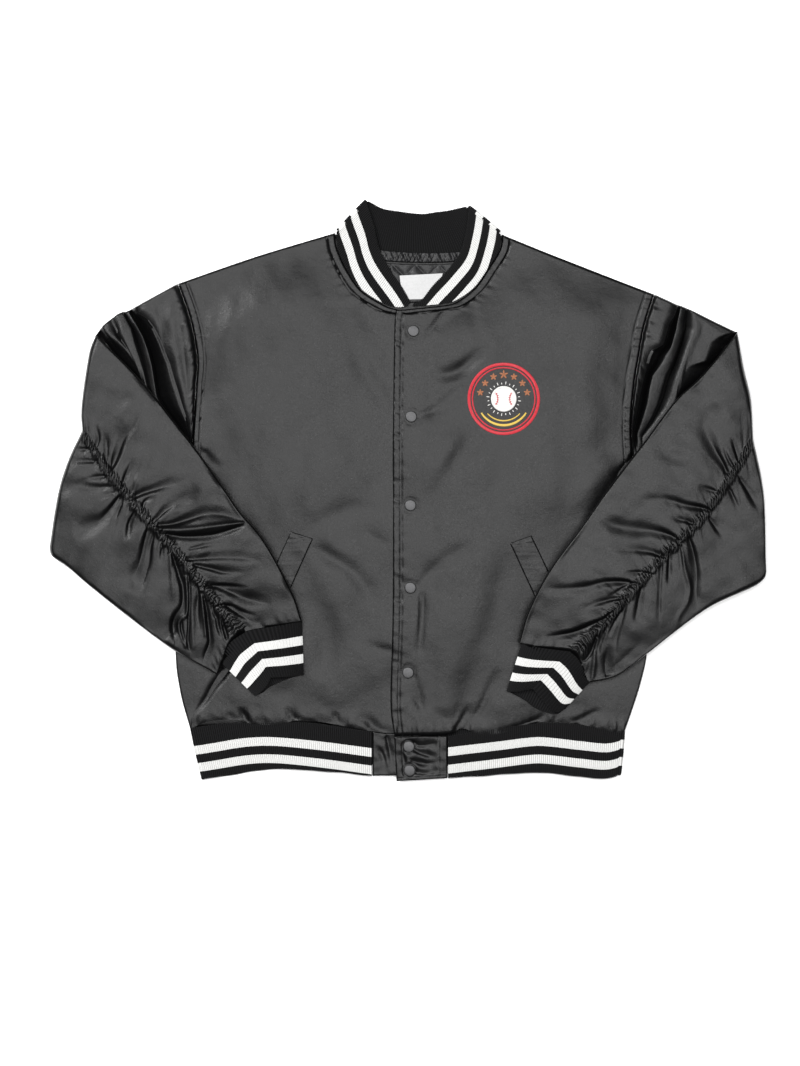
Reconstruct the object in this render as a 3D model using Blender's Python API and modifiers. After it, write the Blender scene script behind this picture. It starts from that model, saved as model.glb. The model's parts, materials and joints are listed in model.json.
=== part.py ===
"""A satin baseball jacket laid flat on its back, snapped shut, with both sleeves folded in over the fronts.

The tables are in millimetres and the meshes in metres. +X is towards the wearer's left sleeve, +Y towards the
collar and +Z up. The back panel, the sleeves and the back of the hem and collar lie on the surface at Z = 0.
The heights are stacked up from it: back, lining or front, then the sleeve, each a seam gap above the last.
"""

import math

import bpy
import numpy as np
from mathutils import Vector
from mathutils.bvhtree import BVHTree

MM = 0.001
SEAM_GAP = 0.3
SEAM_INSET = 0.3

# Walls of quilted satin and of doubled rib.
BACK_WALL = 4.0
FRONT_WALL = 3.0
SLEEVE_WALL = 2.5
RIB_WALL = 3.0
CUFF_WALL = 3.5
CUFF_HALF_HEIGHT = CUFF_WALL + 1.9
CUFF_WIDTH = 90.0
CUFF_SQUARENESS = 0.6
WELT_WALL = 1.6
TAB_WALL = 2.6

# Heights above the surface.
FRONT_BASE = BACK_WALL + SEAM_GAP
FRONT_CROWN_COVERED = 1.4
FRONT_CROWN_OPEN = 4.2
PLACKET_LIFT = FRONT_WALL + 2.0 * SEAM_GAP
SLAB_TOP = FRONT_BASE + FRONT_CROWN_COVERED + FRONT_WALL
SLEEVE_BASE = SLAB_TOP + SEAM_GAP
OVER_WELT_LIFT = WELT_WALL + 0.5
SLEEVE_CREST = 32.0
SLEEVE_CREST_AT_CUFF = 24.0
WEDGE_PUFF = 9.0
EDGE_ROUND = 26.0
SLAB_ROUND = 9.0

# The ruched seam down the back of each sleeve.
GATHERS_PER_SLEEVE = 22
GATHER_HEIGHT = 1.5
GATHER_REACH = 42.0
RUCHED_SEAM_SINK = 4.0

SNAP_CAP_DIAMETER = 15.0
SNAP_CAP_HEIGHT = 3.2

# Outlines, as x, y. A point given twice is a corner. "right" and "left" are the wearer's.
OUTLINE = {
    "right": {
        "side": [(-281, -311), (-294, -263), (-300, -208), (-292, -117), (-281, -26)],
        "armhole": [(-281, -26), (-278, 58), (-274, 129), (-272, 172), (-281, 222), (-297, 268)],
        "shoulder": [(-297, 268), (-196, 303), (-93, 334)],
        "centre": [(23, -318), (23, -143), (23, 52), (23, 205), (19, 231)],
        "neck": [(19, 231), (-14, 235), (-32, 242), (-58, 259), (-76, 284), (-89, 312), (-93, 334)],
        "hem_seam": [(-281, -311), (-227, -302), (-131, -300), (-76, -308), (23, -318)],
    },
    "left": {
        "side": [(283, -316), (304, -252), (313, -202), (310, -117), (300, -26)],
        "armhole": [(300, -26), (292, 73), (296, 135), (302, 172), (309, 212), (322, 254)],
        "shoulder": [(322, 254), (213, 296), (124, 332)],
        "centre": [(-16, -320), (-21, -273), (-18, -143), (-18, 52), (-16, 205), (-14, 233)],
        "neck": [(-14, 233), (6, 235), (44, 239), (64, 244), (88, 262), (106, 288), (121, 313), (124, 332)],
        "hem_seam": [(-16, -320), (53, -318), (109, -309), (170, -302), (219, -303), (283, -316)],
    },
}
BACK_NECK = [(-93, 334), (-60, 317), (-29, 309), (15, 306), (68, 307), (96, 315), (124, 332)]
BACK_HEM_SEAM = [(-281, -311), (-120, -306), (120, -307), (283, -316)]
RIB_SEAM_GAP = 1.3

# Sections along each edge, the same for every piece sewn to it.
SIDE_SPANS = 13
ARMHOLE_SPANS = 13
SLEEVE_SIDE_SPANS = 8
NECK_SPANS = 12
SHOULDER_SPANS = 6
OUTER_SPANS = (6, 9, 6)

# How many of its own steps the sleeve's edge is carried on past both ends, to measure points beside it.
PAST_ENDS = 20

# The sleeve as folded: the upper part lies beside the body and the lower part over it, showing its back.
SLEEVE = {
    "right": {
        "shoulder_edge": [(-307, 264), (-362, 232), (-397, 214), (-400, 198)],
        "fold_inside": [(-400, 198), (-402, 172), (-412, 108), (-411, 82), (-429, 35), (-456, -78)],
        "under_inside": [(-456, -78), (-434, -99), (-406, -122), (-358, -159), (-307, -196)],
        "fold": [(-402, 201), (-412, 172), (-421, 108), (-420, 77)],
        "fold_low": [(-420, 77), (-439, 36), (-452, -8), (-464, -84)],
        "over_body": [(-402, 201), (-342, 140), (-281, 64), (-244, 14), (-217, -26), (-185, -64),
                      (-149, -130), (-135, -170)],
        "ruched_seam": [(-420, 77), (-387, 27), (-347, -23), (-310, -66), (-267, -119), (-217, -183)],
        "underarm": [(-464, -84), (-439, -100), (-411, -124), (-358, -166), (-305, -205), (-246, -239)],
        "cuff_seam": [(-246, -239), (-238, -220), (-226, -196), (-205, -182), (-168, -176), (-135, -170)],
        "cuff_mouth": [(-209, -263), (-195, -267), (-182, -256), (-159, -250), (-132, -239)],
    },
    "left": {
        "shoulder_edge": [(335, 246), (360, 237), (390, 217), (420, 202)],
        "fold_inside": [(420, 202), (427, 157), (437, 117), (440, 74), (451, 14), (457, -92)],
        "under_inside": [(457, -92), (449, -117), (387, -148), (369, -164), (320, -200)],
        "fold": [(428, 204), (437, 157), (446, 117), (449, 66)],
        "fold_low": [(449, 66), (460, 14), (464, -26), (465, -97)],
        "over_body": [(428, 204), (382, 148), (349, 117), (309, 64), (262, 3), (226, -48), (184, -105),
                      (158, -156), (145, -198)],
        "ruched_seam": [(449, 66), (389, -26), (319, -99), (257, -170), (220, -209)],
        "underarm": [(465, -97), (457, -121), (389, -154), (313, -211), (274, -240), (236, -250)],
        "cuff_seam": [(145, -198), (168, -203), (211, -209), (223, -221), (236, -250)],
        "cuff_mouth": [(130, -261), (151, -272), (169, -284), (193, -292), (208, -288)],
    },
}

# The creases: from x, y to x, y, the half width, and the height (below 0 for a trough).
FOLD_COLUMNS = ("x1", "y1", "x2", "y2", "half_width", "height")
SLEEVE_FOLDS = {
    "right": [
        (-349, 101, -382, 30, 14, -4.0),
        (-355, -10, -265, 16, 13, -4.0),
        (-323, -47, -210, -42, 12, -7.0),
        (-310, -30, -215, -22, 12, 3.0),
        (-270, -92, -190, -92, 12, -4.5),
        (-259, -125, -170, -148, 12, -4.5),
        (-374, -8, -410, -53, 12, -3.5),
        (-326, -64, -352, -133, 13, -4.0),
        (-302, -90, -281, -202, 13, -5.0),
        (-260, -135, -254, -209, 12, -4.5),
        (-435, 3, -384, 10, 12, -3.0),
    ],
    "left": [
        (356, -60, 252, -43, 13, -4.5),
        (389, -26, 297, -9, 13, -4.0),
        (426, 22, 378, 91, 14, -4.0),
        (300, -124, 205, -124, 12, -4.5),
        (239, -176, 180, -191, 12, -6.0),
        (356, -72, 382, -143, 13, -4.0),
        (319, -110, 327, -195, 13, -5.0),
        (400, -39, 410, -120, 13, -3.5),
        (262, -182, 250, -240, 12, -4.5),
    ],
}
WEDGE_FOLDS = {
    "right": [
        (-350, 222, -318, 130, 13, -9.0),
        (-318, 130, -292, 86, 13, -6.0),
        (-380, 212, -350, 160, 10, 5.0),
        (-312, 236, -298, 150, 14, 4.0),
    ],
    "left": [
        (349, 222, 312, 110, 12, -8.0),
        (384, 206, 345, 135, 13, -7.0),
        (366, 216, 330, 125, 11, 5.0),
        (408, 196, 385, 165, 10, 4.0),
    ],
}
FRONT_FOLDS = [
    (-240, -247, -268, -296, 14, -1.6),
    (-215, -270, -205, -300, 12, -1.2),
    (18, 101, 83, 153, 16, -1.8),
    (18, -117, 63, -72, 16, -1.8),
    (20, -136, 15, -195, 14, -1.4),
    (68, -308, 97, -256, 14, -1.6),
    (144, -310, 179, -280, 14, -1.4),
    (-240, 247, -249, 170, 14, -1.4),
    (44, 226, 30, 180, 12, -1.2),
    (225, 230, 262, 150, 16, -1.4),
]

COLLAR = {
    "right_seam": [(1, 238), (-14, 237), (-32, 243), (-58, 260), (-76, 284), (-89, 312), (-91, 338)],
    "right_free": [(5, 243), (-8, 266), (-29, 299), (-38, 321), (-43, 344), (-54, 377)],
    "back_seam": [(-91, 338), *[(x, y + RIB_SEAM_GAP) for x, y in BACK_NECK[1:-1]], (122, 336)],
    "back_free": [(-54, 377), (-31, 366), (-3, 361), (23, 359), (51, 363), (82, 369)],
    "left_seam": [(122, 336), (121, 313), (106, 288), (88, 263), (64, 246), (44, 241), (8, 238)],
    "left_free": [(82, 369), (77, 335), (70, 308), (52, 284), (33, 263), (18, 245), (9, 242)],
}
COLLAR_FRONT_LEVEL = FRONT_BASE + FRONT_WALL + SEAM_GAP + RIB_WALL / 2

HEM = {
    "right_seam": [(-45, -314), (-76, -310), (-131, -302), (-227, -304), (-281, -313)],
    "right_free": [(-45, -371), (-112, -365), (-167, -362), (-203, -364), (-240, -371), (-266, -376)],
    "back_seam": [(-281, -313), (-120, -308), (120, -309), (283, -318)],
    "back_free": [(-266, -376), (-120, -358), (120, -360), (278, -370)],
    "left_seam": [(283, -318), (219, -305), (170, -304), (109, -311), (54, -320)],
    "left_free": [(278, -370), (257, -375), (222, -372), (170, -367), (118, -370), (54, -374)],
}
HEM_FRONT_LEVEL = FRONT_BASE + 0.2 + RIB_WALL / 2
# Bottom corners, then top corners.
UNDER_TAB = {"bottom": [(-44, -371), (18, -371)], "top": [(-44, -314), (18, -318)]}
OVER_TAB = {"bottom": [(-13, -378), (53, -374)], "top": [(-16, -320), (53, -319)]}

WELTS = {
    "right": {"outer": [(-150, -54), (-214, -191)], "inner": [(-121, -63), (-184, -202)]},
    "left": {"outer": [(162, -59), (228, -195)], "inner": [(134, -69), (198, -207)]},
}
SNAPS = [(9, 206), (6, 95), (5, -20), (5, -127), (2, -237), (3, -333), (4, -364)]

LINING_OUTLINE = {
    "bottom": [(-70, 294), (-55, 268), (-32, 251), (0, 243), (44, 247), (64, 253), (84, 269), (97, 294)],
    "top": [(-66, 300), (-29, 295), (15, 293), (60, 294), (94, 300)],
}
LINING_WALL = 1.8
QUILT_PITCH = 30.0
QUILT_DEPTH = 1.0
TAPE_OUTLINE = {
    "bottom": [(-66, 302), (-29, 297), (15, 295), (60, 296), (94, 302)],
    "top": [(-63, 314), (-29, 306), (15, 303), (66, 304), (93, 312)],
}
TAPE_GATHERS = 16
LABEL_CORNERS = {"bottom": [(-5, 247), (38, 248)], "top": [(-9, 278), (47, 281)]}


def finish_material(name, colour, roughness, metallic=0.0):
    material = bpy.data.materials.new(name)
    material.use_nodes = True
    shader = material.node_tree.nodes["Principled BSDF"]
    shader.inputs["Base Color"].default_value = (*colour, 1.0)
    shader.inputs["Roughness"].default_value = roughness
    shader.inputs["Metallic"].default_value = metallic
    material.diffuse_color = (*colour, 1.0)
    return material


def smooth_step(low, high, value):
    t = np.clip((value - low) / (high - low), 0.0, 1.0)
    return t * t * (3.0 - 2.0 * t)


def rounded(distance, radius):
    """0 at a folded edge, rising round a quarter circle to 1 a radius inside it."""
    t = np.clip(distance / radius, 0.0, 1.0)
    return np.sqrt(1.0 - (1.0 - t) ** 2)


def smooth_run(points, steps=12):
    """A Catmull-Rom curve through the points of one run with no corner in it."""
    p = np.array(points, float)
    if len(p) == 2:
        return p
    p = np.vstack([2 * p[0] - p[1], p, 2 * p[-1] - p[-2]])
    t = np.linspace(0, 1, steps, endpoint=False)[:, None]
    spans = []
    for a, b, c, d in zip(p[:-3], p[1:-2], p[2:-1], p[3:]):
        curve = 2 * b + (c - a) * t + (2 * a - 5 * b + 4 * c - d) * t**2 + (3 * b - a - 3 * c + d) * t**3
        spans.append(0.5 * curve)
    return np.vstack([*spans, p[-2:-1]])


def along(runs, stations):
    """Points at these shares of the whole length of one or more runs that follow each other."""
    line = np.vstack([smooth_run(run) for run in runs])
    steps = np.hypot(*np.diff(line, axis=0).T)
    line = line[np.r_[True, steps > 1e-6]]
    length = np.r_[0.0, np.cumsum(steps[steps > 1e-6])]
    where = np.asarray(stations) * length[-1]
    return np.column_stack([np.interp(where, length, line[:, 0]), np.interp(where, length, line[:, 1])])


def joined(*runs_and_spans):
    """Points along runs that follow each other, each run cut into its own number of equal spans."""
    pieces = [along([run], np.linspace(0, 1, spans + 1)) for run, spans in runs_and_spans]
    return np.vstack([pieces[0], *[piece[1:] for piece in pieces[1:]]])


def patch(start, end, left, right, rows=None, cols=None):
    """A sheet spread between four edges: rows run from start to end, and each row from left to right."""
    rows = np.linspace(0, 1, len(left)) if rows is None else rows
    cols = np.linspace(0, 1, len(start)) if cols is None else cols
    u, v = rows[:, None, None], cols[None, :, None]
    across = (1 - u) * start[None] + u * end[None]
    lengthwise = (1 - v) * left[:, None] + v * right[:, None]
    corners = (1 - u) * ((1 - v) * start[0] + v * start[-1]) + u * ((1 - v) * end[0] + v * end[-1])
    return across + lengthwise - corners


def shares(count, crowd=0.5):
    """Stations from 0 to 1, closer together at both ends."""
    t = np.linspace(0, 1, count)
    return (1 - crowd) * t + crowd * (0.5 - 0.5 * np.cos(math.pi * t))


def inset(grid, amount):
    """The same sheet with each edge drawn in, to leave a gap at its seams."""
    grid = grid.copy()
    for edge, inner in ((0, 1), (-1, -2)):
        way = grid[inner] - grid[edge]
        grid[edge] += amount * way / np.maximum(np.hypot(way[:, 0], way[:, 1]), 1e-6)[:, None]
        way = grid[:, inner] - grid[:, edge]
        grid[:, edge] += amount * way / np.maximum(np.hypot(way[:, 0], way[:, 1]), 1e-6)[:, None]
    return grid


def from_edges(grid):
    """How far each point lies from the sheet's start, end, left and right edge."""
    down = np.hypot(*np.moveaxis(np.diff(grid, axis=0), 2, 0))
    across = np.hypot(*np.moveaxis(np.diff(grid, axis=1), 2, 0))
    start = np.vstack([np.zeros(grid.shape[1]), np.cumsum(down, axis=0)])
    left = np.hstack([np.zeros((grid.shape[0], 1)), np.cumsum(across, axis=1)])
    return start, start[-1] - start, left, left[:, -1:] - left


def creases(grid, table):
    """The height that the table's creases add at each point, each fading at its ends."""
    height = np.zeros(grid.shape[:2])
    for row in table:
        fold = dict(zip(FOLD_COLUMNS, row))
        start = np.array([fold["x1"], fold["y1"]], float)
        way = np.array([fold["x2"], fold["y2"]], float) - start
        length = math.hypot(*way)
        way /= length
        ahead = (grid - start) @ way
        aside = (grid - start) @ np.array([-way[1], way[0]])
        past_end = np.maximum(np.maximum(-ahead, ahead - length), 0.0)
        height += fold["height"] * np.exp(-(aside**2 + past_end**2) / fold["half_width"] ** 2)
    return height


def lifted(grid, height):
    return np.dstack([grid, np.broadcast_to(height, grid.shape[:2])])


def normals(points):
    down = np.gradient(points, axis=0)
    across = np.gradient(points, axis=1)
    normal = np.cross(across, down)
    normal /= np.maximum(np.linalg.norm(normal, axis=2), 1e-9)[..., None]
    return normal if normal[..., 2].mean() > 0 else -normal


def cloth(name, material, outer, inner, closed=False):
    """A wall of cloth between two sheets of points. A closed one runs round like a cuff, with open ends."""
    rows, cols = outer.shape[:2]
    points = np.concatenate([outer.reshape(-1, 3), inner.reshape(-1, 3)]) * MM
    inside = rows * cols
    faces = []
    spans = cols if closed else cols - 1
    for i in range(rows - 1):
        for j in range(spans):
            a, b = i * cols + j, i * cols + (j + 1) % cols
            c, d = b + cols, a + cols
            faces += [(a, b, c, d), (inside + a, inside + d, inside + c, inside + b)]
    for j in range(spans):
        for row, turned in ((0, False), (rows - 1, True)):
            a, b = row * cols + j, row * cols + (j + 1) % cols
            rim = (b, a, inside + a, inside + b)
            faces.append(rim[::-1] if turned else rim)
    for i in range(0 if closed else rows - 1):
        for col, turned in ((0, False), (cols - 1, True)):
            a, b = i * cols + col, (i + 1) * cols + col
            rim = (a, b, inside + b, inside + a)
            faces.append(rim[::-1] if turned else rim)
    mesh = bpy.data.meshes.new(name)
    mesh.from_pydata(points.tolist(), [], faces)
    mesh.update()
    corners = [points[list(face)] for face in faces]
    volume = sum(np.dot(np.cross(c[0], c[1]), c[2]) + np.dot(np.cross(c[0], c[2]), c[3]) for c in corners)
    if volume < 0:
        mesh.flip_normals()
    mesh.shade_smooth()
    mesh.set_sharp_from_angle(angle=math.radians(50))
    jacket = bpy.data.objects.new(name, mesh)
    jacket.data.materials.append(material)
    bpy.data.collections["baseball_jacket"].objects.link(jacket)
    split = jacket.modifiers.new("even_triangles", "TRIANGULATE")
    split.quad_method = "FIXED"
    return jacket


def level_sheet(name, material, grid, bottom, top):
    return cloth(name, material, lifted(grid, top), lifted(grid, bottom))


def body_side(side):
    """The side and armhole seam from the hem to the shoulder, the same points for every piece sewn to it."""
    edge = OUTLINE[side]
    return joined((edge["side"], SIDE_SPANS), (edge["armhole"], ARMHOLE_SPANS))


def back_panel(material):
    right, left = OUTLINE["right"], OUTLINE["left"]
    collar_end = joined(
        (right["shoulder"], SHOULDER_SPANS), (BACK_NECK, NECK_SPANS), (left["shoulder"][::-1], SHOULDER_SPANS)
    )
    hem_end = along([BACK_HEM_SEAM], np.linspace(0, 1, len(collar_end)))
    grid = patch(hem_end, collar_end, body_side("right"), body_side("left"))
    level_sheet("back_panel", material, inset(grid, SEAM_INSET), 0.0, BACK_WALL)


def beside_sleeve(grid, side):
    """How far a point lies from the edge of the sleeve folded over the front, above 0 towards the collar."""
    edge = along([SLEEVE[side]["over_body"]], np.linspace(0, 1, 40))
    ends = edge[0] + PAST_ENDS * (edge[0] - edge[1]), edge[-1] + PAST_ENDS * (edge[-1] - edge[-2])
    edge = np.vstack([ends[0], edge, ends[1]])
    start, way = edge[:-1], np.diff(edge, axis=0)
    length = np.hypot(*way.T)
    offset = grid[:, :, None] - start
    ahead = np.clip((offset * way).sum(-1) / length**2, 0, 1)
    gap = np.hypot(*np.moveaxis(offset - ahead[..., None] * way, 3, 0))
    nearest = gap.argmin(axis=2)[..., None]
    turn = way[:, 0] * offset[..., 1] - way[:, 1] * offset[..., 0]
    turn = np.take_along_axis(turn, nearest, 2)[..., 0] * (1 if side == "right" else -1)
    return np.sign(turn) * np.take_along_axis(gap, nearest, 2)[..., 0]


def front_height(grid, side):
    """The height of a front's underside: it lies on the back, crowned where no sleeve presses on it."""
    from_hem, from_shoulder, from_left, from_right = from_edges(grid)
    open_share = smooth_step(10, 80, beside_sleeve(grid, side))
    crown = FRONT_CROWN_COVERED + (FRONT_CROWN_OPEN - FRONT_CROWN_COVERED) * open_share
    flat_neck = smooth_step(0, 45, from_shoulder) * smooth_step(0, 30, from_hem)
    sides = smooth_step(0, 30, from_left) * smooth_step(0, 30, from_right)
    folds = np.minimum(creases(grid, FRONT_FOLDS), 0.0) * open_share
    return FRONT_BASE + np.maximum((crown + folds) * flat_neck * sides, 0.0)


def front_panels(material):
    cols = 15
    tops = {}
    for side in ("right", "left"):
        edge = OUTLINE[side]
        outer = body_side(side)
        inner = joined((edge["centre"], len(outer) - 1 - NECK_SPANS), (edge["neck"], NECK_SPANS))
        hem = along([edge["hem_seam"]], shares(cols))
        shoulder = along([edge["shoulder"]], shares(cols))
        if side == "left":
            outer, inner = inner, outer
            shoulder = shoulder[::-1]
        grid = inset(patch(hem, shoulder, outer, inner), SEAM_INSET)
        bottom = front_height(grid, side)
        below_neck = 1.0 - smooth_step(236, 250, grid[..., 1])
        if side == "left":
            # The left front runs over the right one at the placket and comes down to the back beyond it.
            over = 1.0 - smooth_step(32, 62, grid[..., 0])
            bottom = np.maximum(bottom, FRONT_BASE + PLACKET_LIFT * over * below_neck)
        else:
            under = smooth_step(-60, -28, grid[..., 0]) * below_neck
            bottom = FRONT_BASE + (bottom - FRONT_BASE) * (1.0 - under)
        panel = level_sheet(f"front_{side}", material, grid, bottom, bottom + FRONT_WALL)
        tops[side] = BVHTree.FromPolygons(
            [tuple(v.co) for v in panel.data.vertices], [tuple(f.vertices) for f in panel.data.polygons]
        )
    return tops


def height_on(panel, x, y):
    """The height in mm of a front's outer face above this point."""
    hit = panel.ray_cast(Vector((x * MM, y * MM, 1.0)), Vector((0, 0, -1)))[0]
    return hit.z / MM


def sleeve_stations():
    """Rows from the fold to the cuff, close together round the fold and then two to each gather."""
    fold = [0.0, 0.008, 0.022, 0.042]
    return np.r_[fold, np.linspace(0.065, 1.0, 2 * GATHERS_PER_SLEEVE)]


TOP_COLUMNS = np.array([0, 0.02, 0.06, 0.13, 0.24, 0.38, 0.54, 0.7, 0.84, 0.94, 1.0])
LOW_COLUMNS = np.array([0, 0.08, 0.2, 0.36, 0.54, 0.7, 0.83, 0.92, 0.975, 1.0])


def cuff_split(side):
    """The share of the cuff's seam, from its over-body end, at which the ruched seam meets it."""
    seam = np.array(SLEEVE[side]["cuff_seam"][:: -1 if side == "right" else 1], float)
    end = np.array(SLEEVE[side]["ruched_seam"][-1], float)
    fine = along([seam], np.linspace(0, 1, 101))
    return float(np.argmin(np.hypot(*(fine - end).T)) / 100)


def folded_grids(side):
    """The lower sleeve's two cut pieces as flat sheets: above the ruched seam and below it."""
    outline = SLEEVE[side]
    stations = sleeve_stations()
    over = along([outline["over_body"]], stations)
    seam = along([outline["ruched_seam"]], stations)
    under = along([outline["underarm"]], stations)
    cuff = outline["cuff_seam"][:: -1 if side == "right" else 1]
    split = cuff_split(side)
    upper_cuff = along([cuff], split * TOP_COLUMNS)
    lower_cuff = along([cuff], split + (1 - split) * LOW_COLUMNS)
    seam[-1] = upper_cuff[-1]
    top = patch(along([outline["fold"]], TOP_COLUMNS), upper_cuff, over, seam, stations, TOP_COLUMNS)
    low = patch(along([outline["fold_low"]], LOW_COLUMNS), lower_cuff, seam, under, stations, LOW_COLUMNS)
    return top, low


def laid_level(grid, side):
    """The level of what the lower sleeve lies on: the upper sleeve, and the pocket welt on the front."""
    outward = -grid[..., 0] if side == "right" else grid[..., 0]
    body_edge = max(abs(x) for x, y in OUTLINE[side]["side"])
    over_body = 1.0 - smooth_step(body_edge - 38, body_edge - 4, outward)
    return SLEEVE_BASE + OVER_WELT_LIFT * over_body


def sleeve_floor(grid, side, from_over, from_under, from_fold):
    """The level on which the lower sleeve lies, down to the surface at its outer edges."""
    outward = -grid[..., 0] if side == "right" else grid[..., 0]
    body_edge = max(abs(x) for x, y in OUTLINE[side]["side"])
    on_top = laid_level(grid, side)
    share = from_over / np.maximum(from_over + from_under, 1e-6)
    off_body = smooth_step(body_edge + 3, body_edge + 25, outward)
    at_underarm = (1.0 - smooth_step(0, 7, from_under)) * (share > 0.5)
    level = on_top - (SLEEVE_BASE - SEAM_GAP) * off_body * at_underarm
    at_fold = (1.0 - smooth_step(0, 6, from_fold)) * smooth_step(15, 45, from_over)
    return level - (level - SEAM_GAP) * at_fold


def folded_height(grid, side, from_over, from_under):
    """The outer height of the lower sleeve without its creases, and the level that it lies on."""
    from_fold, from_cuff = from_edges(grid)[:2]
    floor = sleeve_floor(grid, side, from_over, from_under, from_fold)
    crest = SLEEVE_CREST_AT_CUFF + (SLEEVE_CREST - SLEEVE_CREST_AT_CUFF) * smooth_step(0, 110, from_cuff)
    edge = rounded(from_over, EDGE_ROUND) * rounded(from_under, EDGE_ROUND) * rounded(from_fold, EDGE_ROUND)
    return floor + (crest - floor) * edge, floor


def lower_sleeves(material):
    for side in ("right", "left"):
        top, low = folded_grids(side)
        top_width = from_edges(top)[2]
        low_width = from_edges(low)[2]
        above_seam, below_seam = top_width[:, -1:] - top_width, low_width[:, -1:] - low_width
        pieces = (
            ("over", top, top_width, above_seam + low_width[:, -1:], above_seam),
            ("under", low, top_width[:, -1:] + low_width, below_seam, low_width),
        )
        for name, grid, from_over, from_under, from_seam in pieces:
            smooth, floor = folded_height(grid, side, from_over, from_under)
            from_fold, from_cuff = from_edges(grid)[:2]
            edge = smooth_step(2, 24, np.minimum(from_over, from_under)) * smooth_step(4, 30, from_fold)
            row = np.arange(len(grid))[:, None] - 4
            gather = np.where(row >= 0, np.where(row % 2 == 0, 1.0, -1.0), 0.0)
            near = np.exp(-((from_seam / GATHER_REACH) ** 2))
            height = creases(grid, SLEEVE_FOLDS[side]) * smooth_step(0, 30, from_cuff)
            height = height + GATHER_HEIGHT * gather * near
            height = height - RUCHED_SEAM_SINK * np.exp(-((from_seam / 9.0) ** 2))
            sheet = inset(grid, SEAM_INSET)
            outer = lifted(sheet, smooth + height * edge)
            inner = outer - SLEEVE_WALL * normals(outer)
            inner[..., 2] = np.maximum(inner[..., 2], floor)
            cloth(f"sleeve_{side}_{name}", material, outer, inner)


def sleeve_layers(material):
    """The hidden layers inside the folded lower sleeve, as one rounded solid for each sleeve."""
    edge_height, middle_height = 1.5, 4.0
    for side in ("right", "left"):
        top, low = folded_grids(side)
        grid = np.concatenate([top[8:-9:5, 4::2], low[8:-9:5, 2:-3:2]], axis=1)
        start, end, left, right = from_edges(grid)
        share = smooth_step(0, 30, left) * smooth_step(0, 30, right) * smooth_step(0, 30, start)
        bottom = laid_level(grid, side)
        top = SLEEVE_BASE + OVER_WELT_LIFT + edge_height + (middle_height - edge_height) * share
        level_sheet(f"sleeve_{side}_layers", material, grid, bottom, top)


def upper_sleeves(material):
    """The upper sleeve beside the body. Its hidden layers are one rounded solid; its shoulder wedge shows."""
    cols = 17
    for side in ("right", "left"):
        outline = SLEEVE[side]
        seam = body_side(side)[SIDE_SPANS - SLEEVE_SIDE_SPANS :][::-1]
        runs = (outline["shoulder_edge"], outline["fold_inside"], outline["under_inside"])
        outer = joined(*zip(runs, OUTER_SPANS))
        columns = np.linspace(0, 1, cols)
        start = (1 - columns[:, None]) * seam[0] + columns[:, None] * outer[0]
        end = (1 - columns[:, None]) * seam[-1] + columns[:, None] * outer[-1]
        grid = inset(patch(start, end, seam, outer), SEAM_INSET)
        from_start, _, from_seam, from_outer = from_edges(grid)
        wedge = beside_sleeve(grid, side)
        puff = WEDGE_PUFF * smooth_step(14, 44, wedge) * smooth_step(0, 26, from_seam)
        puff = puff * smooth_step(0, 26, from_outer)
        folds = creases(grid, WEDGE_FOLDS[side]) * smooth_step(10, 30, wedge)
        folds = folds * smooth_step(2, 20, from_outer) * smooth_step(2, 18, from_seam)
        edge = rounded(from_outer, SLAB_ROUND) * rounded(from_start + 4.0, SLAB_ROUND)
        top = 0.8 + (SLAB_TOP - 0.8 + puff + folds) * edge
        level_sheet(f"sleeve_{side}_upper", material, grid, 0.0, top)


def cuffs(material):
    around, rows = 20, 5
    for side in ("right", "left"):
        seam_points = SLEEVE[side]["cuff_seam"]
        mouth_points = SLEEVE[side]["cuff_mouth"]
        turn = 2 * math.pi * np.arange(around) / around
        rings = {}
        for wall, depth in (("outer", 0.0), ("inner", CUFF_WALL)):
            share = 0.5 - (0.5 - depth / CUFF_WIDTH) * np.cos(turn)
            seam = along([seam_points], share)
            mouth = along([mouth_points], share)
            step = np.linspace(0.008, 1.0, rows)[:, None, None]
            ring = (1 - step) * seam[None] + step * mouth[None]
            height = SLEEVE_BASE + OVER_WELT_LIFT + CUFF_HALF_HEIGHT
            rise = np.sign(np.sin(turn)) * np.abs(np.sin(turn)) ** CUFF_SQUARENESS
            rise = rise * (CUFF_HALF_HEIGHT - depth)
            rings[wall] = np.dstack([ring, np.broadcast_to(height + rise, ring.shape[:2])])
        cloth(f"cuff_{side}", material, rings["outer"], rings["inner"], closed=True)


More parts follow.
